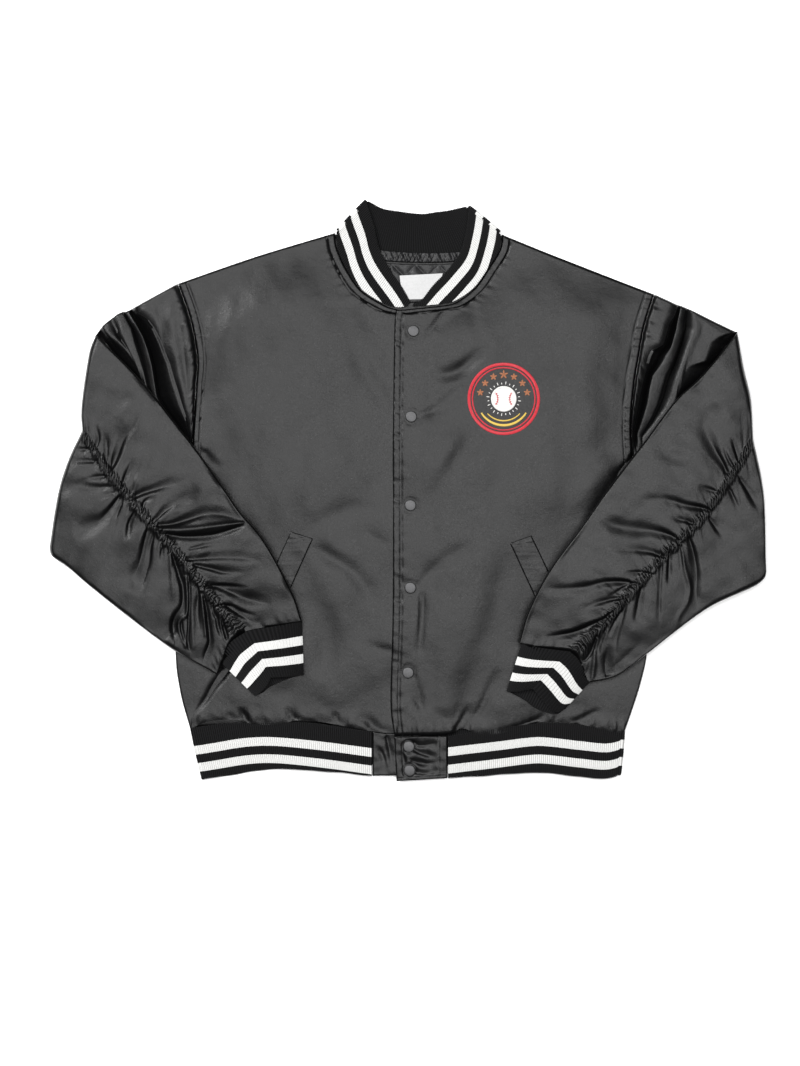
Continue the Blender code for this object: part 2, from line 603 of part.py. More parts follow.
def turned_band(name, material, outline, front_level, wall, counts):
    """A rib band that lies double: front ends on top, a fold at each side, and the back on the surface."""
    back_level = wall / 2
    centre, radius = (front_level + back_level) / 2, (front_level - back_level) / 2
    across = np.linspace(0, 1, counts["across"])[:, None]
    sections = []

    def section(seam, free, angle, outward, pull=0.0):
        flat = (1 - across) * seam + across * free - outward * pull
        middle = np.column_stack([flat + outward * radius * math.cos(angle),
                                  np.full(len(flat), centre + radius * math.sin(angle))])
        normal = np.array([*(outward * math.cos(angle)), math.sin(angle)])
        sections.append((middle + normal * wall / 2, middle - normal * wall / 2))

    runs = []
    for part, count in (("right", counts["front"]), ("back", counts["back"]), ("left", counts["front"])):
        stations = np.linspace(0, 1, count)
        runs.append((along([outline[f"{part}_seam"]], stations), along([outline[f"{part}_free"]], stations)))
    quarter = math.pi / 2
    reach = radius + wall / 2
    for index, (seams, frees) in enumerate(runs):
        angle = -quarter if index == 1 else quarter
        for k, (seam, free) in enumerate(zip(seams, frees)):
            at_fold = (index == 0 and k == len(seams) - 1) or (index == 2 and k == 0)
            at_fold = at_fold or (index == 1 and k in (0, len(seams) - 1))
            line = free - seam
            outward = np.array([-line[1], line[0]]) / math.hypot(*line)
            first_side = index == 0 or (index == 1 and k < len(seams) / 2)
            if (outward[0] > 0) == first_side:
                outward = -outward
            section(seam, free, angle, outward, reach if at_fold else 0.0)
            if at_fold and (index, k) != (1, 0) and index != 2:
                arc = np.linspace(quarter, -quarter, 6)[1:-1]
                for bend in arc if index == 0 else arc[::-1]:
                    section(seam, free, bend, outward, reach)
    outer = np.array([s[0] for s in sections])
    inner = np.array([s[1] for s in sections])
    cloth(name, material, outer, inner)


def strip(name, material, outline, bottom, wall, cols=6, rows=5, wave=None):
    """A small flat piece between its bottom and top edge, from its own outline."""
    stations = np.linspace(0, 1, cols)
    low, high = along([outline["bottom"]], stations), along([outline["top"]], stations)
    step = np.linspace(0, 1, rows)[:, None, None]
    grid = (1 - step) * low[None] + step * high[None]
    top = bottom + wall + (wave(grid) if wave else 0.0)
    level_sheet(name, material, grid, bottom, top)


def hem_tabs(material):
    strip("hem_tab_right", material, UNDER_TAB, BACK_WALL, TAB_WALL)
    strip("hem_tab_left", material, OVER_TAB, BACK_WALL + TAB_WALL + SEAM_GAP, TAB_WALL)


def pocket_welts(material, fronts):
    """Each welt follows its front's face, moved out by a seam gap."""
    for side, edges in WELTS.items():
        low, high = (along([edges[edge]], np.linspace(0, 1, 10)) for edge in ("outer", "inner"))
        step = np.linspace(0, 1, 4)[:, None, None]
        grid = (1 - step) * low[None] + step * high[None]
        panel = np.array([[height_on(fronts[side], x, y) for x, y in row] for row in grid])
        bottom = panel + 2 * SEAM_GAP
        level_sheet(f"pocket_welt_{side}", material, grid, bottom, bottom + WELT_WALL)


def quilting(grid):
    one = np.abs(np.sin(math.pi * (grid[..., 0] + grid[..., 1]) / QUILT_PITCH))
    other = np.abs(np.sin(math.pi * (grid[..., 0] - grid[..., 1]) / QUILT_PITCH))
    return QUILT_DEPTH * (np.sqrt(one * other) - 0.5)


def tape_gathers(grid):
    columns = np.arange(grid.shape[1])[None, :]
    return np.where(columns % 2 == 0, 0.35, -0.35) * np.ones(grid.shape[:2])


def neck_inside(lining, label):
    strip("lining_neck", lining, LINING_OUTLINE, FRONT_BASE, LINING_WALL, cols=20, rows=11, wave=quilting)
    strip("neck_tape", lining, TAPE_OUTLINE, FRONT_BASE, LINING_WALL, 2 * TAPE_GATHERS + 1, 3, tape_gathers)
    strip("label", label, LABEL_CORNERS, FRONT_BASE + LINING_WALL + QUILT_DEPTH / 2 + SEAM_GAP, 0.4, 2, 2)


def seat_of_snap(placket, x, y):
    """The cap sits on the highest point under its rim: on the hem tab, or on the left front above it."""
    if y < OVER_TAB["top"][0][1]:
        return BACK_WALL + 2 * TAB_WALL + 2 * SEAM_GAP
    turns = [2 * math.pi * k / 8 for k in range(8)]
    rim = [(x + SNAP_CAP_DIAMETER / 2 * math.cos(t), y + SNAP_CAP_DIAMETER / 2 * math.sin(t)) for t in turns]
    return max(height_on(placket, *point) for point in [(x, y), *rim]) + SEAM_GAP


def snaps(material, placket):
    """Seven domed caps with a rolled rim, each a turned profile."""
    radius, rise = SNAP_CAP_DIAMETER / 2, SNAP_CAP_HEIGHT
    profile = [(0, rise), (0.55 * radius, 0.92 * rise), (0.82 * radius, 0.72 * rise), (radius, 0.45 * rise),
               (radius, 0.12 * rise), (0.88 * radius, 0), (0, 0)]
    for number, (x, y) in enumerate(SNAPS, start=1):
        mesh = bpy.data.meshes.new(f"snap_{number}")
        points = [(r * MM, 0.0, z * MM) for r, z in profile]
        mesh.from_pydata(points, [(k, k + 1) for k in range(len(points) - 1)], [])
        cap = bpy.data.objects.new(f"snap_{number}", mesh)
        cap.location = (x * MM, y * MM, seat_of_snap(placket, x, y) * MM)
        cap.data.materials.append(material)
        bpy.data.collections["baseball_jacket"].objects.link(cap)
        turn = cap.modifiers.new("turned", "SCREW")
        turn.steps = turn.render_steps = 14
        turn.use_merge_vertices = True
        turn.merge_threshold = 0.0001


def main():
    for old in list(bpy.data.objects):
        bpy.data.objects.remove(old)
    jacket = bpy.data.collections.new("baseball_jacket")
    bpy.context.scene.collection.children.link(jacket)

    satin = finish_material("black_satin", (0.055, 0.055, 0.06), 0.42)
    rib = finish_material("black_rib", (0.012, 0.012, 0.014), 0.9)
    lining = finish_material("black_lining", (0.03, 0.03, 0.035), 0.5)
    metal = finish_material("gunmetal_snap", (0.09, 0.09, 0.1), 0.35, 0.9)
    white = finish_material("white_label", (0.85, 0.85, 0.84), 0.6)

    back_panel(satin)
    fronts = front_panels(satin)
    upper_sleeves(satin)
    sleeve_layers(satin)
    lower_sleeves(satin)
    cuffs(rib)
    turned_band("collar", rib, COLLAR, COLLAR_FRONT_LEVEL, RIB_WALL, {"front": 12, "back": 11, "across": 5})
    turned_band("hem_rib", rib, HEM, HEM_FRONT_LEVEL, RIB_WALL, {"front": 9, "back": 12, "across": 4})
    hem_tabs(satin)
    pocket_welts(satin, fronts)
    neck_inside(lining, white)
    snaps(metal, fronts["left"])


main()
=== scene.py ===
"""The looks of a satin baseball jacket that lies flat on its back, snapped shut, with its sleeves folded in.

Tables are in millimetres, with +X towards the wearer's left sleeve, +Y towards the collar and +Z up. "right"
and "left" are the wearer's. Every cloth piece is a fine grid whose points are moved to the garment's surface.
"""

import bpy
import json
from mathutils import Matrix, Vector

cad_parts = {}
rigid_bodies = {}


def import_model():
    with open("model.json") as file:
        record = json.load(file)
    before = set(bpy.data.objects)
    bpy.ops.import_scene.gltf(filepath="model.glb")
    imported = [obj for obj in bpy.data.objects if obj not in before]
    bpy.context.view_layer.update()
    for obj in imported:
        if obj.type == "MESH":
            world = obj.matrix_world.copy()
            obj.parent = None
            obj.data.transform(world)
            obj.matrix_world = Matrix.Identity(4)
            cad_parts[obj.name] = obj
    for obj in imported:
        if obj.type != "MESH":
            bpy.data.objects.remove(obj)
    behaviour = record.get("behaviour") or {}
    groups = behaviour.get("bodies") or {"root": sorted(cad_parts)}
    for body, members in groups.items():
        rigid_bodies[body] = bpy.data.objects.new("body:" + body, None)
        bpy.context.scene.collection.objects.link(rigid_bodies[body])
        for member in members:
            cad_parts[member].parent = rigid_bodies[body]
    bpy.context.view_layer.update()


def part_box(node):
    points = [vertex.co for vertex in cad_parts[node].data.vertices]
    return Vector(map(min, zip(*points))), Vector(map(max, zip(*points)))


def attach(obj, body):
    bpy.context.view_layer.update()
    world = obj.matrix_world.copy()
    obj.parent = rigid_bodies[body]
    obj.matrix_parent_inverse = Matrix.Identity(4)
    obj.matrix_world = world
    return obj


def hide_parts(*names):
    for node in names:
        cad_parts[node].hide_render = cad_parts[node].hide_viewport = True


bl_info = {
    "name": "Baseball Jacket",
    "version": (1, 0, 0),
    "blender": (4, 5, 0),
    "location": "3D View > Sidebar > Jacket",
    "description": "Dresses a laid-out baseball jacket in satin, rib, ruched seams, snaps and stitching",
    "category": "Object",
}

import json
from math import cos, hypot, pi, radians, sin, sqrt

import bpy
import numpy as np
from bpy.props import FloatProperty, FloatVectorProperty, PointerProperty
from bpy.types import Operator, Panel, PropertyGroup
from mathutils import Vector

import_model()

MM = 0.001
SEAM_GAP = 0.3

# Levels above the surface that the jacket lies on. They follow the solids and keep clear of them.
BACK_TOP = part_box("back_panel")[1][2] / MM
COLLAR_TOP = 10.6
HEM_TOP = 7.5
FRONT_WALL = 3.0
FRONT_BASE = BACK_TOP + SEAM_GAP
FRONT_CROWN_COVERED = 1.4
FRONT_CROWN_OPEN = 4.2
PLACKET_LIFT = 3.6
SLAB_TOP = 8.7
SLEEVE_BASE = 9.0
OVER_WELT_LIFT = 2.1
SLEEVE_CREST = 29.0
SLEEVE_CREST_AT_CUFF = 23.0
CUFF_WALL = 3.5
CUFF_HALF_HEIGHT = 5.4
CUFF_WIDTH = 90.0
CUFF_SQUARENESS = 0.6
RIB_WALL = 3.0

# Outlines, as x, y.
OUTLINE = {"right": {
    "side": [(-281, -311), (-294, -263), (-300, -208), (-292, -117), (-281, -26)],
    "armhole": [(-281, -26), (-278, 58), (-274, 129), (-272, 172), (-281, 222), (-297, 268)],
    "shoulder": [(-297, 268), (-196, 303), (-93, 334)],
    "centre": [(23, -318), (23, -143), (23, 52), (23, 205), (19, 231)],
    "neck": [(19, 231), (-14, 235), (-32, 242), (-58, 259), (-76, 284), (-89, 312), (-93, 334)],
    "hem_seam": [(-281, -313.3), (-257, -302.5), (-222, -300.5), (-204, -305.5), (-170, -306.5),
        (-147, -301.5), (-124, -300.5), (-78, -308), (-41, -314.5), (-20, -316), (23, -318)],
}, "left": {
    "side": [(283, -316), (304, -252), (313, -202), (310, -117), (300, -26)],
    "armhole": [(300, -26), (292, 73), (296, 135), (302, 172), (309, 212), (322, 254)],
    "shoulder": [(322, 254), (213, 296), (124, 332)],
    "centre": [(-16, -320), (-21, -273), (-18, -143), (-18, 52), (-16, 205), (-14, 233)],
    "neck": [(-14, 233), (6, 235), (44, 239), (64, 244), (88, 262), (106, 288), (121, 313), (124, 332)],
    "hem_seam": [(-16, -320), (53, -318.5), (68, -311), (79, -312), (88, -317), (104, -318.5), (122, -317),
        (141, -312), (168, -304), (184, -303), (215, -304.5), (238, -309.5), (262, -316), (283, -318.5)],
}}
BACK_NECK = [(-93, 334), (-60, 317), (-29, 309), (15, 306), (68, 307), (96, 315), (124, 332)]
BACK_HEM_SEAM = [(-281, -311), (-120, -306), (120, -307), (283, -316)]

SLEEVE = {"right": {
    "shoulder_edge": [(-307, 264), (-362, 232), (-372, 231), (-393, 215), (-404, 200)],
    "fold_inside": [(-404, 200), (-404, 172), (-412, 108), (-411, 82), (-429, 35), (-456, -78)],
    "under_inside": [(-456, -78), (-434, -99), (-406, -122), (-358, -159), (-307, -196)],
    "fold": [(-402, 201), (-412, 172), (-421, 108), (-420, 77)],
    "fold_low": [(-420, 77), (-439, 36), (-452, -8), (-464, -84)],
    "over_body": [(-402, 201), (-342, 140), (-281, 64), (-244, 14), (-217, -26), (-185, -64), (-149, -130),
        (-135, -170)],
    "ruched_seam": [(-420, 77), (-387, 27), (-347, -23), (-310, -66), (-267, -119), (-217, -183)],
    "underarm": [(-464, -84), (-439, -100), (-411, -124), (-358, -166), (-305, -205), (-246, -239)],
    "cuff_seam": [(-246, -239), (-238, -220), (-226, -196), (-205, -182), (-168, -176), (-135, -170)],
    "cuff_mouth": [(-209, -263), (-186, -263), (-175, -254.5), (-153, -245), (-132, -239)],
}, "left": {
    "shoulder_edge": [(335, 246), (360, 238), (373, 232), (390, 217), (408, 208), (430, 205.5)],
    "fold_inside": [(430, 205.5), (428, 157), (437, 117), (440, 74), (451, 14), (457, -92)],
    "under_inside": [(457, -92), (449, -117), (387, -148), (369, -164), (320, -200)],
    "fold": [(428, 204), (437, 157), (446, 117), (449, 66)],
    "fold_low": [(449, 66), (460, 14), (464, -26), (465, -97)],
    "over_body": [(428, 204), (382, 148), (349, 117), (309, 64), (262, 3), (226, -48), (184, -105),
        (158, -156), (145, -198)],
    "ruched_seam": [(449, 66), (389, -26), (319, -99), (257, -170), (220, -209)],
    "underarm": [(465, -97), (457, -121), (389, -154), (313, -211), (274, -240), (236, -250)],
    "cuff_seam": [(145, -198), (168, -203), (211, -209), (223, -221), (236, -250)],
    "cuff_mouth": [(130, -261), (151, -272), (169, -284), (193, -292), (208, -288)],
}}

COLLAR = {
    "right_seam": [(1, 238), (-14, 237), (-32, 243), (-58, 260), (-76, 284), (-89, 312), (-91, 338)],
    "right_free": [(5, 243), (-8, 266), (-29, 299), (-38, 321), (-43, 344), (-54, 377)],
    "back_seam": [(-91, 338), (-60, 318), (-29, 310), (15, 307), (68, 308), (96, 316), (122, 336)],
    "back_free": [(-54, 377), (-31, 366), (-3, 361), (23, 359), (51, 363), (82, 369)],
    "left_seam": [(122, 336), (121, 313), (106, 288), (88, 263), (64, 246), (44, 241), (8, 238)],
    "left_free": [(82, 369), (77, 335), (70, 308), (52, 284), (33, 263), (18, 245), (9, 242)],
}
HEM = {
    "right_seam": [(-45, -314), (-76, -310), (-131, -302), (-227, -303), (-281, -309)],
    "right_free": [(-45, -371), (-112, -365), (-167, -362), (-203, -364), (-240, -371), (-266, -376)],
    "back_seam": [(-281, -309), (-120, -306), (120, -307), (283, -313.5)],
    "back_free": [(-266, -376), (-120, -358), (120, -360), (278, -370)],
    "left_seam": [(283, -313.5), (219, -304), (170, -303), (109, -311), (54, -320)],
    "left_free": [(278, -370), (257, -375), (222, -372), (170, -367), (118, -370), (54, -374)],
}
# The plain rib beyond the outer stripe: x, width.
COLLAR_EDGE_RIB = {"right": [(5, 11), (-30, 14), (-54, 17)], "left": [(9, 11), (60, 11), (82, 12)]}
HEM_EDGE_RIB = [(-280, 11), (-165, 7.5), (-45, 2), (54, 6), (170, 12.5), (280, 12)]

# Bottom corners, then top corners.
UNDER_TAB = {"bottom": [(-44, -371), (18, -371)], "top": [(-44, -314), (18, -318)]}
OVER_TAB = {"bottom": [(-13, -378), (53, -374)], "top": [(-16, -320), (53, -319)]}
WELTS = {
    "right": {"outer": [(-150, -54), (-214, -191)], "inner": [(-121, -63), (-184, -202)]},
    "left": {"outer": [(162, -59), (228, -195)], "inner": [(134, -69), (198, -207)]},
}
LINING_OUTLINE = {
    "bottom": [(-70, 294), (-55, 268), (-32, 251), (0, 243), (44, 247), (64, 253), (84, 269), (97, 294)],
    "top": [(-66, 300), (-29, 295), (15, 293), (60, 294), (94, 300)],
}
TAPE_OUTLINE = {
    "bottom": [(-66, 302), (-29, 297), (15, 295), (60, 296), (94, 302)],
    "top": [(-63, 319), (-29, 311.5), (15, 308.5), (66, 309.5), (93, 317)],
}
LABEL_CORNERS = {"bottom": [(-5, 247), (38, 248)], "top": [(-9, 278), (47, 281)]}

# Folds: a lean from -1 to 1 that steepens one side, or 0 for a slight lean to each side in turn, and then the
# points x, y, half width, height along the fold.
SLEEVE_FOLDS = {"right": [
    (0, (-384, 24, 3, -3), (-379, 31, 4, -5), (-372, 46, 5, -5.5), (-364, 67, 7, -4.5), (-353, 82, 8, -3),
        (-348, 101, 8, 0)),
    (0.3, (-401, 53, 2.5, -2), (-397, 67, 3, -2.6), (-402, 86, 4, 0)),
    (0, (-386, 44, 3, -1.5), (-387, 61, 5, -1.8), (-393, 81, 6, 0)),
    (0, (-368, 3, 2.5, -3), (-363, 18, 3.5, -3.6), (-358, 30, 5, -2), (-354, 42, 5, 0)),
    (0.3, (-358, -14, 3, -4), (-343, -6, 4, -5), (-321, 1, 5.5, -4.5), (-301, 8, 8, -2.6),
        (-270, 18, 9, 0)),
    (0, (-341, -26, 2.5, -3), (-338, -15, 3, -3.4), (-324, -6, 4, 0)),
    (0, (-326, -42, 3, -4), (-314, -30, 4.5, -4.5), (-302, -21, 7, -3.5), (-284, -12, 9, -2.6),
        (-268, 4, 9, 0)),
    (0.5, (-320, -47, 3, -4), (-301, -45, 4, -6), (-279, -38, 6, -6), (-258, -32, 8, -5),
        (-237, -33, 7, -3.5), (-215, -39, 4, 0)),
    (0, (-317, -51, 3, 2.5), (-294, -52, 4, 4), (-268, -50, 4, 4.5), (-240, -46, 3.5, 4.2),
        (-216, -43, 2.2, 3.5), (-208, -42, 1.5, 0)),
    (-0.4, (-310, -57, 3, -4), (-285, -60, 4, -6.5), (-252, -58, 5, -6.5), (-226, -51, 3.5, -5),
        (-207, -45, 2, 0)),
    (0, (-279, -77, 2, -2), (-261, -73, 3, -2.2), (-240, -69, 4, 0)),
    (0.3, (-281, -91, 3, -3), (-261, -89, 5, -4.2), (-235, -88, 7, -3.6), (-209, -89, 7, -2.5),
        (-185, -94, 6, 0)),
    (0, (-273, -98, 2.5, -3), (-252, -103, 3.6, -4), (-236, -107, 4.4, -3), (-207, -107, 5, 0)),
    (0, (-262, -126, 2, -2), (-242, -123, 2.8, -3), (-223, -124, 3, -2.4), (-203, -126, 4, 0)),
    (0.2, (-258, -122, 3, -3), (-237, -129, 5, -4.5), (-216, -138, 8, -5.5), (-196, -144, 8, -4),
        (-175, -148, 6, 0)),
    (0, (-240, -149, 2.5, -3), (-226, -150, 3, -3.8), (-213, -157, 3.6, -3), (-193, -163, 4, 0)),
    (0, (-231, -152, 2.2, -2.5), (-216, -162, 2.6, -2.8), (-198, -172, 3, 0)),
    (0, (-302, 49, 9, 0), (-274, 57, 11, -1.2), (-250, 58, 9, 0)),
    (0, (-398, 114, 9, 0), (-375, 118, 11, -1.5), (-352, 117, 10, -1.2), (-333, 114, 8, 0)),
    (0, (-250, -13, 10, 0), (-232, -9, 10, -1.4), (-222, -3, 8, 0)),
    (0, (-411, 53, 2, -3), (-422, 53, 2.4, -3), (-431, 53, 3, 0)),
    (0, (-402, 36, 2.2, -3.5), (-417, 36, 2.8, -4), (-431, 35, 4, -1.5)),
    (0.2, (-391, 18, 2.5, -3.5), (-401, 17, 3.2, -4), (-414, 14, 4, -2), (-424, 10, 4, 0)),
    (0.3, (-385, 5, 3, -4), (-401, 4, 5, -5), (-419, 6, 8, -5), (-437, 5, 9, -3)),
    (0.2, (-371, -9, 3, -5), (-384, -26, 5, -6), (-396, -39, 8, -5), (-411, -49, 12, -3.2),
        (-430, -55, 14, 0)),
    (0, (-378, -5, 2, -2.5), (-388, -8, 3, -2.5), (-397, -11, 3, 0)),
    (0, (-351, -29, 2.5, -3.5), (-358, -42, 3.5, -5), (-360, -55, 4, -4), (-362, -66, 4, 0)),
    (0, (-367, -18, 2.2, -2.5), (-372, -29, 3, -2.5), (-376, -38, 3, 0)),
    (0.35, (-333, -47, 3, -4.5), (-338, -65, 5.5, -6.5), (-344, -91, 7.5, -6), (-351, -112, 9, -5),
        (-354, -133, 8, 0)),
    (0, (-326, -57, 2.5, -4), (-330, -75, 3.2, -5), (-332, -94, 4.5, -4), (-339, -117, 6, -2.6),
        (-346, -138, 6, 0)),
    (0, (-317, -66, 2.2, -2.5), (-316, -82, 3, -2.8), (-318, -99, 4, 0)),
    (0.4, (-303, -83, 2, -4.5), (-298, -98, 2.6, -6), (-294, -112, 3.2, -7), (-290, -125, 4, -7.5),
        (-289, -138, 5, -7), (-291, -151, 5.5, -5.5), (-298, -161, 6, -7), (-302, -171, 5.4, -8),
        (-302, -182, 5, -6), (-300, -194, 4.5, -2)),
    (0, (-305, -86, 2, 1.5), (-303, -108, 3, 2.2), (-301, -130, 4, 1.5), (-300, -145, 4, 0)),
    (0, (-285, -113, 1.8, 2), (-284, -130, 2, 3), (-283, -146, 2, 3), (-284, -161, 2, 3),
        (-291, -167, 2, 3), (-295, -173, 2, 3), (-293, -182, 2, 3), (-289, -193, 2, 2.6),
        (-285, -202, 2, 2)),
    (0, (-281.5, -110, 1.5, -2), (-280.6, -130, 1.6, -3), (-280.6, -146, 1.6, -3), (-281.5, -163, 1.6, -3),
        (-282, -179, 1.8, -3.4), (-283, -194, 2, -3.4), (-281, -206, 2.4, -2)),
    (0, (-290, -170, 1.8, -3), (-290, -181, 2.2, -4.5), (-286.5, -194, 2, -3)),
    (0, (-277, -128, 2, 1), (-277, -165, 2.6, 1.6), (-275.5, -203, 3, 1)),
    (0, (-269, -127, 2.2, -3.5), (-268.5, -143, 3.2, -4.5), (-269, -157, 3.8, -4.2), (-268, -170, 4.2, -3),
        (-266, -186, 5, 0)),
    (0, (-264.5, -138, 1.6, 1.5), (-262.6, -156, 1.8, 2.4), (-261, -171, 1.8, 2.4),
        (-259.5, -188, 2, 1.6)),
    (0.3, (-262, -139, 1.8, -3.5), (-258.7, -156, 2.4, -5.5), (-257, -171, 2.8, -6),
        (-255.5, -185, 3.2, -6), (-255, -198, 4, -5.5), (-260, -211, 4.6, -3.5), (-263, -222, 4, -1)),
    (0, (-251.5, -148, 2, -3), (-249.8, -159, 2.4, -3), (-246, -167, 2.6, -4), (-244, -178, 2.8, -4),
        (-240, -188, 3, -1.5)),
    (0, (-238, -167, 1.8, -2.4), (-236, -176, 2.2, -4.5), (-233.5, -184, 2.4, -5),
        (-231.5, -192, 2.2, -3)),
    (0, (-241, -165, 1.6, 1.6), (-239.5, -178, 1.8, 2.2), (-235.5, -192, 1.8, 2.2), (-229.5, -198, 1.8, 2),
        (-226.5, -190, 1.8, 1.6)),
    (0, (-404, -72, 12, 0), (-375, -86, 14, -1.4), (-346, -109, 12, 0)),
    (0, (-314, -195, 5, -1.5), (-300, -182, 5, -2.5), (-292, -165, 4, 0)),
], "left": [
    (0.2, (414, 23, 3, -4), (406, 39, 5, -5.5), (396, 57, 8, -5), (388, 73, 9, -3), (383, 91, 8, 0)),
    (0, (429, 36, 2.4, -3), (424, 52, 3.4, -3), (419, 68, 4, 0)),
    (0, (422, 29, 2, -2.5), (414, 43, 3, -2.5), (409, 56, 4, 0)),
    (0.3, (389, -25, 3, -5), (378, -22, 4, -6), (361, -19, 5, -4.5), (335, -12, 7, -3), (300, -12, 8, 0)),
    (0.2, (353, -66, 3, -4.5), (340, -58, 4.5, -5.5), (323, -53, 7, -4.5), (298, -51, 9, -4.5),
        (272, -47, 9, -4), (249, -40, 8, 0)),
    (0, (331, -87, 3, -4), (317, -82, 4, -4), (296, -79, 6, -2.4), (259, -79, 7, 0)),
    (0.3, (293, -120, 3, -4.5), (275, -118, 4, -5.5), (254, -119, 5, -4.5), (228, -125, 6.5, -3.4),
        (200, -127, 7, -2), (177, -127, 6, 0)),
    (0.2, (262, -160, 2.6, -4), (253, -168, 3.6, -6), (237, -175, 4.4, -7.5), (218, -183, 4.8, -7),
        (199, -187, 5, -4), (178, -190, 5, 0)),
    (0, (291, -121, 2.2, -3), (279, -127, 3, -3.4), (266, -135, 3.6, -1.6), (256, -140, 4, 0)),
    (0, (278, -140, 2.4, -3.5), (262, -143, 3.2, -4), (245, -148, 4, -2.4), (226, -155, 5, 0)),
    (0, (314, -108, 2.4, -3), (298, -106, 3.2, -2.6), (280, -107, 4, 0)),
    (0, (369, -44, 2.4, -3), (356, -40, 3.4, -3), (340, -38, 4, 0)),
    (0, (402, -3, 2.4, -3), (391, 1, 3.4, -3), (376, 4, 5, 0)),
    (0, (380, 42, 8, 0), (350, 42, 10, -1.8), (319, 43, 9, 0)),
    (0, (401, 114, 10, 0), (392, 96, 12, -1.8), (382, 75, 10, 0)),
    (0, (369, -195, 3, 0), (239, -143, 6, -0.5), (200, -151, 6, 0)),
    (0, (431, 12, 3, -4), (439, 0, 5, -5), (447, -14, 6, -4), (456, -29, 6, 0)),
    (0, (418, 0, 2.4, -3), (424, -13, 3.4, -3), (430, -27, 4, 0)),
    (0, (391, -38, 2.4, -3), (400, -51, 4, -3), (410, -65, 5, 0)),
    (-0.3, (365, -62, 3, -4.5), (371, -82, 5, -6), (375, -108, 6.4, -5.5), (374, -135, 7, -3.5),
        (376, -158, 8, 0)),
    (0, (351, -68, 2.4, 0), (356, -88, 3, 2.4), (361, -109, 3.4, 2.6), (366, -127, 3.4, 2.4),
        (362, -146, 3.2, 2), (352, -163, 3.4, 1.6), (347, -178, 4, 0)),
    (0, (352, -72, 2.6, -3.4), (355, -88, 3, -3), (356, -104, 3, 0)),
    (0, (339, -82, 2.6, -4), (338, -105, 3.4, -4.5), (337, -124, 4, 0)),
    (0, (330, -92, 2.2, -3), (328, -120, 2.8, -2.2), (327, -146, 3, -2), (326, -180, 4, 0)),
    (0, (303, -128, 3, -3), (300, -140, 4.6, -4.5), (297, -155, 5.6, -4), (294, -174, 6, 0)),
    (0, (286, -138, 2.4, -2.4), (283, -150, 3, -3), (278, -170, 3.4, -3), (272, -190, 4.2, -2.6),
        (270, -214, 5, 0)),
    (0, (276, -158, 2, -3.4), (270, -168, 2.4, -4.5), (264, -180, 2.6, -2.6), (260, -188, 3, 0)),
    (0, (259, -178, 2.2, -2.4), (253, -192, 2.6, -3), (249, -204, 3, -2.4), (248, -214, 3.4, 0)),
    (0.35, (262, -200, 6, 0), (257, -218, 7, -4.5), (257, -236, 7, -4)),
    (0, (246, -190, 2, -4), (243, -200, 2.2, -5.5), (239, -211, 2.2, -5), (231, -221, 2, -4),
        (224, -219, 2, -3)),
    (0, (243, -210, 2.6, 2), (242, -228, 3.4, 3), (239, -245, 3.4, 2)),
    (0, (421, -91, 12, 0), (418, -130, 14, -1.6), (382, -159, 12, 0)),
    (0, (304, -195, 6, 0), (285, -213, 7, -2), (265, -231, 5, -1)),
]}
WEDGE_FOLDS = {"right": [
    (0.3, (-322, 248, 6, 0), (-320, 225, 6, -0.9), (-315, 195, 6, -0.9), (-312, 170, 6, 0)),
    (0.0, (-306, 250, 6, 0), (-304, 215, 6, 1.0), (-297, 165, 6, 1.2), (-289, 120, 5, 1.0),
        (-283, 85, 3, 0)),
    (-0.3, (-296, 232, 4, 0), (-289, 190, 5, -1.0), (-285, 150, 4, -0.8), (-283, 110, 3, 0)),
], "left": [
    (0.0, (338, 236, 6, 0), (333, 205, 7, 0.7), (320, 175, 6, 0.6), (312, 150, 4, 0)),
    (0.3, (384, 224, 5, 0), (382, 205, 7, -0.8), (374, 185, 7, -0.8), (368, 165, 5, 0)),
]}

